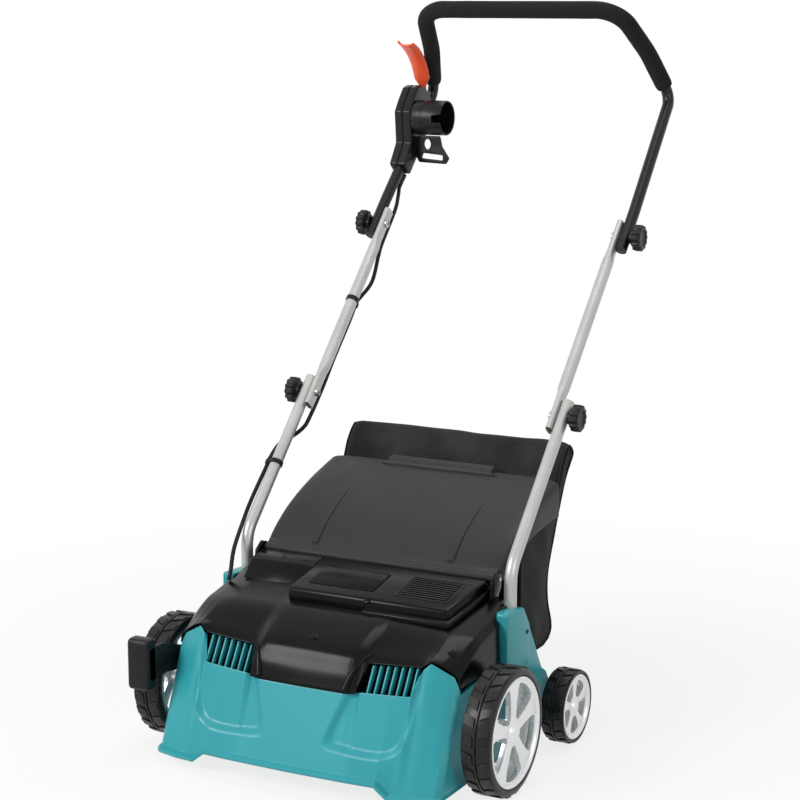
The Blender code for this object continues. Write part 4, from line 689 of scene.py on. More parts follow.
rubber = moulded("tyre_hard_rubber", (0.0120, 0.0117, 0.0114), 0.36, grain=700.0, relief=0.08, mottle=0.25,
                 patches=40.0, shine=0.26)
silver_rim = moulded("rim_silver_paint", (0.84, 0.84, 0.845), 0.28, grain=1200.0, relief=0.008, mottle=0.03,
                     metallic=0.60, coat=0.15)
tread_depth = 0.0024
for label, axle, track, radius, width, rim_r, lugs, hub in (
        ("front_wheel", (0.0, 0.095), 0.598, 0.095, 0.046, 0.080, 22, 0.0170),
        ("rear_wheel", rear_axle, 0.580, 0.0575, 0.038, 0.0495, 16, 0.0120)):
    half = width / 2
    tread = radius - tread_depth
    for side, hand in hands:
        body = label + "_" + hand
        centre = Vector((side * (track / 2 - half), *axle))
        bm = bmesh.new()
        lathe(bm, [(rim_r - 0.0035, -half + 0.003), (rim_r + 0.004, -half), (tread - 0.004, -half + 0.0006),
                   (tread - 0.0012, -half + 0.0018), (tread, -half + 0.0040), (tread, -0.0020),
                   (radius - 0.0003, -0.0012), (radius - 0.0001, 0.0), (radius - 0.0003, 0.0012),
                   (tread, 0.0020), (tread, half - 0.0040), (tread - 0.0012, half - 0.0018),
                   (tread - 0.004, half - 0.0006), (rim_r + 0.006, half - 0.0002), (rim_r + 0.0045, half),
                   (rim_r + 0.0028, half - 0.0002), (rim_r + 0.0012, half - 0.0030),
                   (rim_r - 0.0035, half - 0.0052)], centre, side, 160)
        piece(body + "_tyre_body", bm, rubber, body, body + "_tyre", smooth=40.0)
        # Zigzag lugs, one row on each side of the middle rib, half a step apart.
        wide = half - 0.0030
        step = math.tau / lugs
        lug = [(0.0034, -0.40), (0.42 * wide, -0.30), (0.78 * wide, -0.18), (wide, -0.13),
               (wide, 0.36), (0.78 * wide, 0.34), (0.42 * wide, 0.26), (0.0034, 0.16)]
        for row, suffix in ((-1, "_lugs_a"), (1, "_lugs_b")):
            bm = bmesh.new()
            tops = []
            feet = []
            for x, share in lug:
                for ring, r in ((tops, radius - (0.0006 if x == wide else 0.0)), (feet, tread - 0.0025)):
                    z, y = polar(r, share * step)
                    ring.append(bm.verts.new((row * x, y, z)))
            skin(bm, [feet, tops])
            for k in range(3):
                bm.faces.new([tops[k], tops[k + 1], tops[6 - k], tops[7 - k]])
            bm.faces.new(feet[::-1])
            if row > 0:
                bmesh.ops.rotate(bm, cent=(0, 0, 0), matrix=Matrix.Rotation(math.pi / lugs, 3, "X"),
                                 verts=bm.verts)
            bmesh.ops.translate(bm, vec=(0, -axle_y, 0), verts=bm.verts)
            tread_lugs = piece(body + suffix, bm, rubber, body, edge=0.0005, segments=1)
            repeated(tread_lugs, ring_tree, ring_sockets,
                     {"Count": lugs, "Centre": (centre.x, centre.y + axle_y, centre.z), "Finish": rubber})
        # Rim: barrel, flange and hub, then the spoke disc with its rounded openings.
        bm = bmesh.new()
        lathe(bm, [(rim_r - 0.010, -half + 0.004), (rim_r - 0.0042, -half + 0.0035),
                   (rim_r - 0.0042, half - 0.0050), (rim_r + 0.0008, half - 0.0032),
                   (rim_r + 0.0004, half - 0.0006), (rim_r - 0.0010, half + 0.0004),
                   (rim_r - 0.0028, half - 0.0002), (rim_r - 0.0052, half - 0.0030),
                   (rim_r - 0.0078, half - 0.0085)],
              centre, side, 96)
        lathe(bm, [(0.0004, half + 0.0004), (hub - 0.0075, half + 0.0002), (hub - 0.0060, half - 0.0010),
                   (hub - 0.0015, half - 0.0040), (hub, half - 0.0070), (hub, -half + 0.001),
                   (0.0056, -half + 0.001), (0.0004, half - 0.004)], centre, side, 64)
        piece(body + "_rim_barrel", bm, silver_rim, body, body + "_rim", smooth=32.0)
        part = (rim_r - 0.0055) / 0.0745
        reach = rim_r - 0.0040
        loops = [circle(0, 0, reach, 96), circle(0, 0, 0.008, -48)]
        for k in range(5):
            aim = math.radians(90 + 36 + 72 * k)
            edges = [(r, math.radians(36) - math.asin(min(0.9, w * part / r))) for r, w in
                     ((hub + 0.005, 0.0084), (0.55 * reach, 0.0094), (0.80 * reach, 0.0128),
                      (reach - 0.0052, 0.0172))]
            corners = [polar(r, aim - a) for r, a in edges]
            corners += [polar(reach - 0.0046, aim + edges[-1][1] * t) for t in (-0.5, 0.0, 0.5)]
            corners += [polar(r, aim + a) for r, a in reversed(edges)]
            loops.append(softened(corners, 0.0038 * part, 4)[::-1])
        bm = plate(body + "_spokes", loops, 0.0041, 0.0011, 3)
        for vert in bm.verts:
            u, v, w = vert.co
            dish = 0.0021 * min(1.0, math.hypot(u, v) / reach)
            vert.co = Vector((centre.x + side * (half - 0.0106 + dish + w), centre.y + u, centre.z + v))
        piece(body + "_rim_spokes", bm, silver_rim, body, smooth=40.0)

# Depth lever, axles and crank.
# The left-hand lever is a black moulding with a rounded hand block. It turns the crank shaft that
# carries the front wheels, and the steel axles keep their plain turned shapes.
lever_black = moulded("lever_black_plastic", (0.0065, 0.0065, 0.0065), 0.42, grain=800.0, relief=0.10,
                      mottle=0.15, shine=0.24)
steel = moulded("bright_steel", (0.45, 0.45, 0.44), 0.30, grain=1600.0, relief=0.04, mottle=0.08,
                metallic=1.0, patches=60.0)
dark_steel = moulded("blackened_steel", (0.085, 0.085, 0.085), 0.42, grain=900.0, relief=0.10, mottle=0.25,
                     metallic=0.9, patches=50.0)
motor_paint = moulded("motor_enamel", (0.14, 0.14, 0.135), 0.45, grain=700.0, relief=0.10, metallic=0.5)
belt_rubber = moulded("belt_rubber", (0.010, 0.010, 0.010), 0.65, grain=900.0, relief=0.2, mottle=0.2,
                      shine=0.2)
for finish, names in ((steel, ("crank_shaft", "rear_axle", "reel_shaft", "reel_pulley", "motor_pulley",
                               "motor_shaft", "flap_pin", "reel_bearing_left", "reel_bearing_right",
                               "bag_frame")),
                      (dark_steel, ("crank_arm", "reel_blades")), (motor_paint, ("motor_can",)),
                      (belt_rubber, ("drive_belt",)), (lever_black, ("depth_lever", "cooling_fan"))):
    for name in names:
        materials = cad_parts[name].data.materials
        materials.clear()
        materials.append(finish)
front_axle = Vector((0, 0.0, 0.095))
crank = Vector((0, 0.026, 0.117))
heading = math.atan2(front_axle.z - crank.z, front_axle.y - crank.y)
arm = []
for centre, start in ((front_axle, -90), (crank, 90)):
    turns = [polar(0.013, heading + math.radians(start + 180 * k / 16)) for k in range(17)]
    arm += [(centre.y + u, centre.z + v) for u, v in turns]
blade = [(0.038, 0.105), (0.016, 0.137), (-0.085, 0.171), (-0.121, 0.171), (-0.121, 0.119), (-0.075, 0.123)]
bm = prism(bmesh.new(), arm, -0.2520, -0.2460)
prism(bm, softened(blade, 0.006), -0.2518, -0.2462)
prism(bm, circle(front_axle.y, front_axle.z, 0.005), -0.2940, -0.2465)
piece("depth_lever_arm", bm, lever_black, "front_crank", "depth_lever", edge=0.0009)
hand_block = softened([(-0.128, 0.105), (-0.102, 0.105), (-0.102, 0.185), (-0.128, 0.185)], 0.0095, 6)
piece("depth_lever_hand_block", prism(bmesh.new(), hand_block, -0.2835, -0.2462), lever_black, "front_crank",
      edge=0.0055, segments=5, smooth=50.0)

# Discharge flap.
# A dark grey moulded lid with a fine spark grain, skirts down both sides, two tapering ribs and a
# hand lip along its rear edge. It hangs from a steel pin between the cover's ears.
flap_grey = moulded("flap_grey_grain", (0.029, 0.029, 0.0280), 0.48, grain=620.0, relief=0.28, mottle=0.06,
                    shine=0.20)
arch = curve_through([(0, y, z) for y, z in (
    (0.1470, 0.2845), (0.158, 0.2955), (0.1755, 0.3100), (0.205, 0.3290), (0.238, 0.3450), (0.270, 0.3575),
    (0.296, 0.3660), (0.330, 0.3755), (0.354, 0.3815))], 6)
lid_half = 0.205
skirt_top = 0.0115
rows = [[Vector((x, p.y, p.z - drop)) for p in arch] for x, drop in (
    (0.0, 0.0), (0.060, 0.0), (0.110, 0.0), (0.150, 0.0003), (0.180, 0.0012), (0.190, 0.0022),
    (0.1965, 0.0036), (0.2010, 0.0056), (0.2037, 0.0080), (lid_half, skirt_top))]
for part in (0.25, 0.5, 0.75, 1.0):
    rows.append([Vector((lid_half + 0.001 * part, p.y,
                         p.z - skirt_top - (0.0045 + 0.044 * k / (len(arch) - 1)) * part))
                 for k, p in enumerate(arch)])
bm = bmesh.new()
surface(bm, rows)
both_sides(bm)
piece("flap_lid", bm, flap_grey, "flap", "discharge_flap", wall=0.003, edge=0.0009, smooth=30.0)
lip = [(0.338, 0.3765), (0.3405, 0.3835), (0.3475, 0.3880), (0.3570, 0.3905), (0.3615, 0.3882),
       (0.3560, 0.3795)]
bm = prism(bmesh.new(), softened(lip, 0.002, 4), -0.102, 0.102)
for vert in bm.verts:
    if vert.co.z > 0.380:
        vert.co.x *= 0.90
for side in (-1, 1):
    rings = []
    for k, p in enumerate(arch[1:31]):
        t = k / 29
        tall = 0.0012 + 0.0046 * (1 - t) ** 0.7
        wide = 0.0068 * (1 - 0.70 * t)
        rings.append([bm.verts.new((side * 0.118 + u * wide, p.y, p.z - 0.0012 + h * tall)) for u, h in
                      ((-1, 0), (-0.72, 0.75), (-0.4, 1.0), (0.4, 1.0), (0.72, 0.75), (1, 0))])
    skin(bm, rings, capped=True)
barrel_half = 0.1985
prism(bm, circle(0.136, 0.2745, 0.0065), -barrel_half, barrel_half)
prism(bm, [(0.135, 0.2785), (0.137, 0.2810), (0.1495, 0.2862), (0.1508, 0.2838), (0.1425, 0.2745)],
      -barrel_half, barrel_half)
piece("flap_lip_ribs_barrels", bm, flap_grey, "flap", edge=0.0010)

# Catcher bag.
# Black woven polyester sewn from a long panel round the bottom, back and top and two side
# panels, with bound seams and a double row of stitches. It hangs slack from its wire mouth.
cloth = bpy.data.materials.new("bag_woven_polyester")
cloth.use_nodes = True
tree = cloth.node_tree
shader = fill(tree.nodes["Principled BSDF"], {"Sheen Weight": 0.06, "Sheen Roughness": 0.45,
                                              "Specular IOR Level": 0.14})
where = node(tree, "ShaderNodeUVMap", uv_map="cut")
weave = node(tree, "ShaderNodeMath", operation="MULTIPLY")
for k, direction in enumerate("XY"):
    threads = node(tree, "ShaderNodeTexWave", {"Scale": 98.0, "Distortion": 0.6, "Detail": 1.0},
                   wave_type="BANDS", bands_direction=direction)
    wire(tree, (where, "UV", threads, "Vector"), (threads, "Fac", weave, k))
fade = node(tree, "ShaderNodeTexNoise", {"Scale": 16.0, "Detail": 6.0})
mixed = node(tree, "ShaderNodeMath", {1: 0.65}, operation="MULTIPLY_ADD")
tone = node(tree, "ShaderNodeValToRGB")
for stop, position, colour in zip(tone.color_ramp.elements, (0.35, 1.05),
                                  ((0.0045, 0.0045, 0.0046, 1.0), (0.046, 0.046, 0.047, 1.0))):
    stop.position = position
    stop.color = colour
dull = node(tree, "ShaderNodeMapRange", {"To Min": 0.62, "To Max": 0.88})
raised = node(tree, "ShaderNodeBump", {"Strength": 0.45, "Distance": 0.0006})
wire(tree, (where, "UV", fade, "Vector"), (weave, 0, mixed, 0), (fade, "Fac", mixed, 2),
     (mixed, 0, tone, "Fac"), (tone, "Color", shader, "Base Color"), (fade, "Fac", dull, "Value"),
     (dull, "Result", shader, "Roughness"), (weave, 0, raised, "Height"),
     (raised, "Normal", shader, "Normal"))

profile = curve_through([(0, y, z) for y, z in (
    (0.2317, 0.126), (0.262, 0.118), (0.300, 0.116), (0.336, 0.1185), (0.354, 0.132), (0.356, 0.150),
    (0.342, 0.188), (0.341, 0.2325), (0.363, 0.285), (0.385, 0.332), (0.408, 0.373), (0.434, 0.403),
    (0.430, 0.417), (0.412, 0.424), (0.388, 0.400), (0.368, 0.364), (0.330, 0.356), (0.296, 0.347),
    (0.262, 0.337), (0.2317, 0.329))], 7)
count = len(profile)
lengths = [0.0]
for a, b in zip(profile, profile[1:]):
    lengths.append(lengths[-1] + (b - a).length)
outwards = []
for k in range(count):
    along = (profile[min(k + 1, count - 1)] - profile[max(k - 1, 0)]).normalized()
    outwards.append(Vector((0, along.z, -along.y)))
bag_half = 0.195
cloth_thick = 0.0014
strips = 60
bm = bmesh.new()
cut = bm.loops.layers.uv.new("cut")
grid = []
columns_x = [-bag_half + 0.390 * k / strips for k in range(strips + 1)]
for x in columns_x:
    edge = (abs(x) - 0.183) / 0.012
    inset = 0.006 * edge * edge if edge > 0 else 0.0
    slack = 1 - (x / bag_half) ** 2
    column = []
    for k, p in enumerate(profile):
        held = min(1.0, k / 12, (count - 1 - k) / 12)
        fold = noise.noise(Vector((x * 9.0, lengths[k] * 7.0, 3.1))) * 0.0030
        crease = noise.noise(Vector((x * 26.0, lengths[k] * 14.0, 7.7))) * 0.0010
        free = 1.0 if p.y > 0.366 or p.z < 0.30 else 0.25
        puff = (0.0030 * slack + fold + crease) * held * free
        column.append(bm.verts.new(Vector((x, p.y, p.z)) + outwards[k] * (puff - inset)))
    grid.append(column)
for i in range(strips):
    for k in range(count - 1):
        corners = ((i, k), (i + 1, k), (i + 1, k + 1), (i, k + 1))
        face = bm.faces.new([grid[u][v] for u, v in corners])
        for loop, (u, v) in zip(face.loops, corners):
            loop[cut].uv = (columns_x[u], lengths[v])
bag_panel = piece("bag_long_panel", bm, cloth, "bag", "bag_fabric", wall=cloth_thick, smooth=80.0,
                  closed=False)


def between_heights(line, z):
    """The y of a rising line of points at a height."""
    for a, b in zip(line, line[1:]):
        if a[1] <= z <= b[1]:
            return a[0] + (b[0] - a[0]) * (z - a[1]) / max(1e-9, b[1] - a[1])
    return line[0][0] if z < line[0][1] else line[-1][0]


rim = [(p.y, p.z) for p in profile]
lowest = min(range(count), key=lambda k: rim[k][1])
highest = max(range(count), key=lambda k: rim[k][1])
back_edge = rim[lowest:highest + 1]
front_edge = rim[lowest::-1] + rim[:highest - 1:-1]
floor_z = rim[lowest][1]
roof_z = rim[highest][1]
for side, hand in hands:
    bm = bmesh.new()
    cut = bm.loops.layers.uv.new("cut")
    grid = []
    for i in range(49):
        t = i / 48
        z = floor_z + 0.0008 + (roof_z - floor_z - 0.0016) * t
        left = between_heights(front_edge, z)
        right = between_heights(back_edge, z)
        row = []
        for j in range(25):
            s = j / 24
            y = left + (right - left) * s
            bulge = math.sin(math.pi * s) * math.sin(math.pi * t)
            loose = min(1.0, 3 * bulge)
            fold = noise.noise(Vector((y * 16.0, z * 7.0, 2.0 + side))) * 0.0040 * loose
            drag = noise.noise(Vector((y * 30.0 + z * 20.0, z * 9.0 - y * 6.0, 5.0 + side))) * 0.0018 * loose
            row.append((bm.verts.new((side * (0.1945 + 0.0045 * bulge + fold + drag), y, z)), (y, z)))
        grid.append(row)
    for low, high in zip(grid, grid[1:]):
        for j in range(24):
            corners = [low[j], low[j + 1], high[j + 1], high[j]][::side]
            face = bm.faces.new([c[0] for c in corners])
            for loop, c in zip(face.loops, corners):
                loop[cut].uv = c[1]
    bag_side = piece("bag_side_panel_" + hand, bm, cloth, "bag", wall=cloth_thick, smooth=80.0, closed=False)

binding = moulded("bag_binding_tape", (0.0085, 0.0085, 0.0085), 0.75, grain=1100.0, relief=0.4, mottle=0.2,
                  shine=0.12)
bm = bmesh.new()
for side in (-1, 1):
    swept(bm, [(side * 0.1940, p.y - o.y * 0.005, p.z - o.z * 0.005) for p, o in zip(profile, outwards)],
          0.0026, 10)
mouth = softened([(-0.1935, 0.130), (0.1935, 0.130), (0.1935, 0.3265), (-0.1935, 0.3265)], 0.012)
swept(bm, [(x, 0.2345, z) for x, z in mouth], 0.0030, 10, closed=True)
piece("bag_bound_seams", bm, binding, "bag", smooth=80.0)

stitch_tree, stitch_sockets, given, copies, real, paint = pattern(
    "stitches_along_a_seam", "Stitches",
    {"Seam": "Geometry", "Spacing": "Float", "Size": "Float", "Finish": "Material"})
seam = node(stitch_tree, "GeometryNodeMeshToCurve")
evenly = node(stitch_tree, "GeometryNodeCurveToPoints", mode="LENGTH")
bead = node(stitch_tree, "GeometryNodeMeshIcoSphere", {"Subdivisions": 1})
longer = node(stitch_tree, "ShaderNodeCombineXYZ")
half_size = node(stitch_tree, "ShaderNodeMath", {1: 0.34}, operation="MULTIPLY")
wire(stitch_tree, (given, "Seam", seam, "Mesh"), (seam, "Curve", evenly, "Curve"),
     (given, "Spacing", evenly, "Length"), (evenly, "Points", copies, "Points"),
     (evenly, "Rotation", copies, "Rotation"), (bead, "Mesh", copies, "Instance"),
     (given, "Size", half_size, 0), (half_size, 0, longer, "X"), (half_size, 0, longer, "Y"),
     (given, "Size", longer, "Z"), (longer, 0, copies, "Scale"), (real, "Geometry", paint, "Geometry"))
thread = moulded("bag_thread", (0.030, 0.030, 0.031), 0.6, grain=1500.0, relief=0.3, shine=0.2)
bm = bmesh.new()
for side in (-1, 1):
    for x, inset in ((0.1810, 0.0002), (0.1953, -0.010)):
        points = [bm.verts.new((side * x, p.y + o.y * inset, p.z + o.z * inset))
                  for p, o in zip(profile, outwards)]
        for a, b in zip(points, points[1:]):
            bm.edges.new((a, b))
stitches = piece("bag_stitches", bm, thread, "bag", smooth=80.0, closed=False)
repeated(stitches, stitch_tree, stitch_sockets, {"Spacing": 0.0056, "Size": 0.0016, "Finish": thread})

# Handle tubes.
# Two lower and two middle steel tubes in silver lacquer, their lapped ends pressed flat, and one
# black upper tube bent into a forward loop. Bolts and star knobs clamp them at four joints.
lacquer = moulded("tube_silver_lacquer", (0.52, 0.52, 0.505), 0.34, grain=1800.0, relief=0.008, mottle=0.04,
                  metallic=0.55)
black_tube = moulded("tube_black_lacquer", (0.0050, 0.0050, 0.0050), 0.30, grain=1500.0, relief=0.04,
                     mottle=0.15, shine=0.30)
tube_r = 0.0095
tube_wall = 0.0014
leg_x = 0.2285
middle_x = 0.2132
lap = 0.027
lower_bolt = Vector((0, 0.313, 0.491))
upper_bolt = Vector((0, 0.553, 0.743))
up = (upper_bolt - lower_bolt).normalized()
rear = Vector((0, up.z, -up.y))
reach = (upper_bolt - lower_bolt).length


def bend(points, radii, steps=14):
    """A route with its inner corners turned into arcs."""
    points = [Vector(p) for p in points]
    route = [points[0]]
    for before, corner, after, radius in zip(points, points[1:], points[2:], radii):
        back = (before - corner).normalized()
        ahead = (after - corner).normalized()
        half = back.angle(ahead) / 2
        middle = corner + (back + ahead).normalized() * (radius / math.sin(half))
        first = corner + back * (radius / math.tan(half)) - middle
        last = corner + ahead * (radius / math.tan(half)) - middle
        sweep = first.angle(last)
        for k in range(steps + 1):
            t = k / steps
            swung = first * math.sin((1 - t) * sweep) + last * math.sin(t * sweep)
            route.append(middle + swung / math.sin(sweep))
    return [*route, points[-1]]


def open_tube(bm, path, sides=32):
    """A round tube along a route with open ends."""
    places = stops(path)
    rings = [around(bm, stop, tube_r, sides) for stop in places]
    rings += [around(bm, stop, tube_r - tube_wall, sides) for stop in reversed(places)]
    return skin(bm, rings, closed=True)


def mirrored(points):
    """The points' mirror images, in the opposite order."""
    return [Vector((-p.x, p.y, p.z)) for p in reversed(points)]


foot_y = 0.126
heel = lower_bolt.z - (lower_bolt.y - foot_y) * up.z / up.y
# Places along the middle tube, with how flat it is pressed there.
marks = [(-lap, 1.0), (0.030, 1.0), (0.036, 0.9), (0.043, 0.5), (0.050, 0.1), (0.056, 0.0)]
marks += [(reach - s, flat) for s, flat in reversed(marks)]
for side, hand in hands:
    at = Vector((side * leg_x, 0, 0))
    route = bend([at + Vector((0, foot_y, 0.150)), at + Vector((0, foot_y, heel)),
                  at + lower_bolt + up * lap], [0.055])
    piece("lower_tube_body_" + hand, open_tube(bmesh.new(), route), lacquer, "chassis", "lower_tube_" + hand,
          smooth=40.0)
    bm = bmesh.new()
    skins = ([], [])
    for s, flat in marks:
        for layer, wall in zip(skins, (0.0, tube_wall)):
            half_x = tube_r + (0.0054 - tube_r) * flat - wall
            half_n = tube_r + (0.0106 - tube_r) * flat - wall
            x = side * (middle_x + 0.0004 * flat)
            ring = []
            for c, d in circle(0, 0, 1.0, 40):
                across = half_x * math.copysign(abs(c) ** (1.0 - 0.45 * flat), c)
                back = half_n * math.copysign(abs(d) ** (1.0 - 0.2 * flat), d)
                ring.append(bm.verts.new(lower_bolt + up * s + Vector((x + across, 0, 0)) + rear * back))
            layer.append(ring)
    skin(bm, skins[0] + skins[1][::-1], closed=True)
    piece("middle_tube_body_" + hand, bm, lacquer, "handle_middle", "middle_tube_" + hand, smooth=40.0)
foot = upper_bolt - up * lap
knee = upper_bolt + up * 0.050
ends = [Vector(p) for p in ((leg_x, foot.y, foot.z), (leg_x, knee.y, knee.z), (0.2225, 0.757, 0.957),
                            (0.2005, 0.706, 1.032), (0.178, 0.628, 1.102))]
corners = ends + mirrored(ends)
loop_route = [corners[0], *bend(corners[1:-1], [0.026, 0.12, 0.05, 0.05, 0.12, 0.026]), corners[-1]]
bm = open_tube(bmesh.new(), loop_route)
for tip, inner in ((loop_route[0], loop_route[1]), (loop_route[-1], loop_route[-2])):
    inwards = (inner - tip).normalized()
    swept(bm, [tip + inwards * d for d in (0.0002, 0.0004, 0.0060)], [0.0074, 0.0080, 0.0080], 32)
piece("upper_tube_body", bm, black_tube, "handle_top", "upper_handle_tube", smooth=40.0)

knob_black = moulded("knob_black_plastic", (0.0065, 0.0065, 0.0065), 0.40, grain=800.0, relief=0.12,
                     mottle=0.15, shine=0.25)
# Depth, radius and how deep the twelve grooves are along a star knob, from the tube outwards.
knob_profile = ((0.0, 0.0085, 0), (0.0, 0.0110, 0), (0.0052, 0.0110, 0), (0.0060, 0.0125, 0.4),
                (0.0066, 0.0195, 0.8), (0.0074, 0.0208, 1), (0.0088, 0.0214, 1), (0.0180, 0.0214, 1),
                (0.0198, 0.0207, 1), (0.0209, 0.0190, 0.9), (0.0214, 0.0165, 0.5), (0.0210, 0.0130, 0),
                (0.0196, 0.0122, 0), (0.0192, 0.0090, 0), (0.0192, 0.0005, 0))
grooves = 12
for level, bolt, host in (("lower", lower_bolt, "chassis"), ("upper", upper_bolt, "handle_middle")):
    for side, hand in hands:
        knob = level + "_knob_" + hand
        bm = bmesh.new()
        rings = []
        for d, r, lobe in knob_profile:
            ring = []
            for turn in [math.tau * k / 144 for k in range(144)]:
                wave = math.cos(grooves * turn)
                bite = lobe * 0.0026 * (0.5 - 0.5 * math.copysign(abs(wave) ** 0.6, wave))
                u, v = polar(r - bite, turn)
                ring.append(bm.verts.new((side * (0.2383 + d), bolt.y + u, bolt.z + v)))
            rings.append(ring)
        skin(bm, rings, capped=True)
        piece(level + "_star_knob_" + hand, bm, knob_black, knob + "_body", knob, smooth=30.0)
        bm = cross_head(bmesh.new(), (side * 0.2082, bolt.y, bolt.z), (-side, 0, 0), 0.0072)
        prism(bm, circle(bolt.y, bolt.z, 0.003, 24), side * 0.2085, side * 0.2500)
        piece(level + "_bolt_body_" + hand, bm, steel, host, level + "_bolt_" + hand, smooth=45.0)

# Foam grip.
# One length of closed-cell foam slipped over the loop, with square-cut ends and a fine pore.
foam = moulded("grip_foam", (0.0170, 0.0170, 0.0170), 0.86, grain=420.0, relief=0.55, mottle=0.22,
               patches=30.0, shine=0.14)
grip_ends = [ends[2] + (ends[3] - ends[2]).normalized() * 0.024, ends[3], ends[4]]
route = bend(grip_ends + mirrored(grip_ends), [0.12, 0.05, 0.05, 0.12])
fine = []
for a, b in zip(route, route[1:]):
    steps = max(1, round((b - a).length / 0.006))
    fine += [a.lerp(b, k / steps) for k in range(steps)]
fine.append(route[-1])
radii = [0.0143 + noise.noise(p * 38.0) * 0.00025 for p in fine]
radii[0] -= 0.0012
radii[-1] -= 0.0012
sleeve = swept(bmesh.new(), fine, radii, 40)
piece("foam_sleeve", sleeve, foam, "handle_top", "foam_grip", smooth=60.0)

# Switch box.
# Two black moulded halves clamped round the left leg of the loop, with a round mains inlet, a
# cord hook, an orange squeeze lever and a safety button.
box_black = moulded("switch_box_black", (0.0065, 0.0065, 0.0067), 0.33, grain=800.0, relief=0.08, mottle=0.12,
                    shine=0.26)


def beside(s, off):
    """A (y, z) point beside the left leg, so far past the upper bolt."""
    return (upper_bolt + up * s + rear * off).yz


button_y, button_z = 0.676, 0.935
outline = [beside(0.118, -0.014), (0.648, 0.874), (0.643, 0.928), (0.657, 0.948), (0.674, 0.968),
           (0.690, 0.972), (0.719, 0.957), beside(0.258, 0.014), beside(0.118, 0.014)]
for label, low, high, edge in (("outer", -0.2420, -0.22665, 0.0034), ("inner", -0.22635, -0.2110, 0.0022)):
    half_box = piece("switch_half_" + label, prism(bmesh.new(), softened(outline, 0.006), low, high),
                     box_black, "handle_top", "switch_box_" + label, edge=edge, segments=4, smooth=35.0)
    if label == "outer":
        # Bore for the safety button.
        bm = swept(bmesh.new(), [(x, button_y + axle_y, button_z) for x in (-0.2460, -0.2330)], 0.0077, 40)
        bmesh.ops.recalc_face_normals(bm, faces=bm.faces)
        bore = placed("button_bore", bpy.data.meshes.new("button_bore"))
        bm.to_mesh(bore.data)
        bm.free()
        step = half_box.modifiers.new("bore", "BOOLEAN")
        step.object = bore
        step.solver = "EXACT"
        mesh = baked(half_box)
        half_box.modifiers.clear()
        half_box.data = mesh
        bpy.data.objects.remove(bore)
        mesh.set_sharp_from_angle(angle=math.radians(35))
bm = cross_head(bmesh.new(), (-0.2418, 0.660, 0.892), (-1, 0, 0), 0.0030)
cross_head(bm, (-0.2418, 0.700, 0.952), (-1, 0, 0), 0.0030)
piece("switch_box_screws", bm, zinc, "handle_top", smooth=50.0)
face = -0.2107
inlet_y, inlet_z = 0.672, 0.917
cup = [(0.0005, 0.0), (0.0272, 0.0), (0.0292, 0.0012), (0.0300, 0.0040), (0.0300, 0.0180), (0.0290, 0.0190),
       (0.0290, 0.0215), (0.0300, 0.0225), (0.0300, 0.0565), (0.0293, 0.0578), (0.0284, 0.0578),
       (0.0275, 0.0568), (0.0275, 0.0064), (0.0005, 0.0062)]
bm = bmesh.new()
lathe(bm, cup, (face, inlet_y, inlet_z), 1, 96, open_rows=True)
for vert in bm.verts:
    # Notch in the mouth, on the front side.
    if vert.co.y < 0.66 and abs(vert.co.z - inlet_z) < 0.0061 and vert.co.x > face + 0.040:
        vert.co.x = face + 0.040
bmesh.ops.holes_fill(bm, edges=[e for e in bm.edges if e.is_boundary], sides=200)
piece("inlet_shroud", bm, box_black, "handle_top", "plug_inlet", smooth=35.0)
brass = moulded("inlet_pin_brass", (0.58, 0.42, 0.16), 0.26, grain=1500.0, relief=0.03, mottle=0.08,
                metallic=1.0)
bm = bmesh.new()
for dz in (-0.0095, 0.0095):
    swept(bm, [(face + d, inlet_y, inlet_z + dz) for d in (0.0063, 0.020, 0.036, 0.0405, 0.0423)],
          [0.0024, 0.0024, 0.0024, 0.0021, 0.0011], 24)
piece("inlet_pin_pair", bm, brass, "handle_top", "inlet_pins", smooth=40.0)
piece("inlet_pin_base", prism(bmesh.new(), circle(inlet_y, inlet_z, 0.018, 48), face + 0.0063, face + 0.0078),
      box_black, "handle_top", edge=0.0005, smooth=40.0)
hook = [(0.0, 0.884), (0.006, 0.886), (0.046, 0.886), (0.050, 0.868), (0.064, 0.848), (0.058, 0.838),
        (0.006, 0.840), (0.0, 0.850)]
slot = [(0.010, 0.847), (0.052, 0.844), (0.052, 0.853), (0.014, 0.856)]
eye = [(0.022 + 0.0065 * c, 0.8715 + 0.009 * s) for c, s in circle(0, 0, 1.0, -32)]
bm = plate("cord_hook_plate", [softened(hook, 0.004), softened(slot, 0.003)[::-1], eye], 0.0014, 0.0006, 2)
for vert in bm.verts:
    vert.co = Vector((face + vert.co.x, 0.668 + vert.co.z, vert.co.y))
piece("cord_hook_moulding", bm, box_black, "handle_top", "cord_hook", smooth=40.0)

# Squeeze lever: an orange channel with a curled tip and turned-in edges.
orange = moulded("lever_orange", (0.95, 0.110, 0.032), 0.34, grain=900.0, relief=0.05, mottle=0.05)
path = curve_through([(0, y, z) for y, z in ((0.712, 0.948), (0.708, 0.968), (0.697, 0.992), (0.682, 1.013),
                                             (0.664, 1.029), (0.643, 1.040))], 8)
edge_depths = ((-0.0150, 0.0096), (-0.0146, 0.0066), (-0.0130, 0.0036), (-0.0095, 0.0012), (-0.0040, 0.0))
rows = []
for x, depth in edge_depths + tuple((-x, depth) for x, depth in reversed(edge_depths)):
    row = []
    for k, p in enumerate(path):
        t = k / (len(path) - 1)
        narrow = 1.0 if p.z > 0.980 else 0.40 + 0.60 * max(0.0, (p.z - 0.966) / 0.014)
        deep = depth * min(1.0, 0.25 + 1.5 * t) * (1.0 - 0.25 * t)
        curl = 0.004 * max(0.0, (t - 0.7) / 0.3) if x < -0.012 else 0.0
        row.append((-0.2205 + x * min(1.0, narrow), p.y + deep * 0.72 - curl, p.z + deep * 0.69 + curl * 0.8))
    rows.append(row)
bm = bmesh.new()
surface(bm, rows)
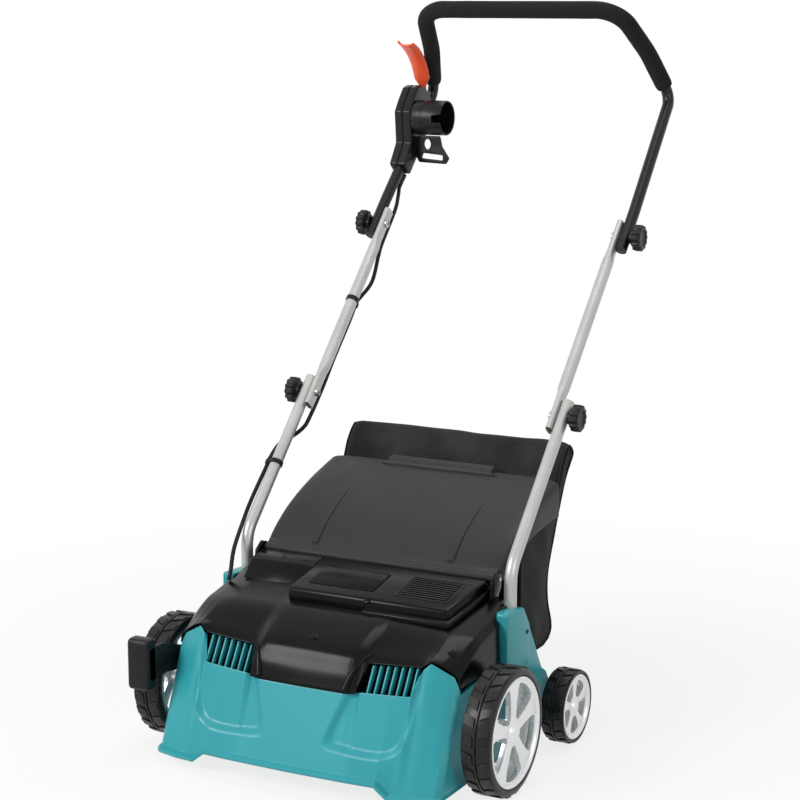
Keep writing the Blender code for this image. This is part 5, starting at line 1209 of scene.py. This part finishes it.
piece("squeeze_lever", bm, orange, "switch_lever_body", "switch_lever", wall=0.0028, edge=0.0006, smooth=40.0,
      closed=False)
button = swept(bmesh.new(), [(-0.2380 - d, button_y, button_z)
                             for d in (0.0, 0.0065, 0.0080, 0.0088, 0.0090)],
               [0.0073, 0.0073, 0.0068, 0.0055, 0.0020], 40)
piece("safety_button", button, orange, "lock_button_body", "lock_button", smooth=35.0)

# Mains cable.
# A black rubber-sheathed lead clipped along the left tubes, from a gland under the switch box
# down into the motor cover. It is made in two lengths that meet beside the left middle tube; neither rides on
# a body.
sheath = moulded("cable_sheath", (0.0065, 0.0065, 0.0065), 0.5, grain=1300.0, relief=0.12, mottle=0.15,
                 shine=0.2)


def spot(bolt, s, away=0.015, x=-0.2127):
    """A point so far along the handle from a bolt, and so far behind it."""
    return bolt + up * s + rear * away + Vector((x, 0, 0))


join = spot(lower_bolt, 0.178, 0.015, -middle_x)
lower_half = [(-0.222, 0.061, 0.2352), (-0.2225, 0.0675, 0.249), (-0.232, 0.0931, 0.2774),
              (-0.241, 0.1347, 0.3104), (-0.2435, 0.1632, 0.3381),
              *[spot(lower_bolt, *at) for at in (
                  (-0.148, 0, -0.2435), (-0.132, 0, -0.2435), (-0.100, 0.008, -0.2425),
                  (-0.082, 0.015, -0.232), (-0.062, 0.015, -0.217), (-0.0414,), (0.02, 0.017), (0.075,),
                  (0.150, 0.016, -0.213))], join]
upper_half = [join, *[spot(lower_bolt, *at) for at in (
                  (0.194, 0.015, -middle_x), (0.240, 0.023, -0.206), (0.290, 0.018, -0.210),
                  (reach - 0.03, 0.017))],
              *[spot(upper_bolt, *at) for at in (
                  (0.040,), (0.070, 0.016, -0.218), (0.095, 0.016, -0.224), (0.1165, 0.016, -0.2255))]]
for label, route, first, second, hinge, nodes in (
        ("cable_run_lower", lower_half, "chassis", "handle_middle", lower_bolt,
         ("cable_lower", "cable_middle")),
        ("cable_run_upper", upper_half, "handle_middle", "handle_top", upper_bolt, ("cable_upper",))):
    run = piece(label, swept(bmesh.new(), curve_through(route, 14), 0.0033), sheath, None, smooth=180.0)
    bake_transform(run)
    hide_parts(*nodes)
gland = [spot(upper_bolt, s, 0.016, x) for s, x in ((0.094, -0.2238), (0.100, -0.2245), (0.106, -0.2250),
                                                    (0.112, -0.2253), (0.1185, -0.2256))]
piece("cable_gland", swept(bmesh.new(), gland, [0.0040, 0.0046, 0.0050, 0.0056, 0.0062], 24), box_black,
      "handle_top", smooth=35.0)
for label, s, x, aside, body in (("cable_clip_lower", -0.140, -leg_x, Vector((-0.015, 0, 0)), "chassis"),
                                 ("cable_clip_middle", 0.186, -middle_x, rear * 0.015, "handle_middle")):
    bm = bmesh.new()
    centre = lower_bolt + up * s + Vector((x, 0, 0))
    for middle, r in ((centre, 0.0098), (centre + aside, 0.0036)):
        skin(bm, [around(bm, (middle + up * depth, Vector((1, 0, 0)), rear), r + grow, 48) for grow, depth in
                  ((0.0, -0.004), (0.0012, -0.0036), (0.0014, 0.0), (0.0012, 0.0036), (0.0, 0.004))],
             closed=True)
    piece(label + "_band", bm, knob_black, body, label, smooth=35.0)
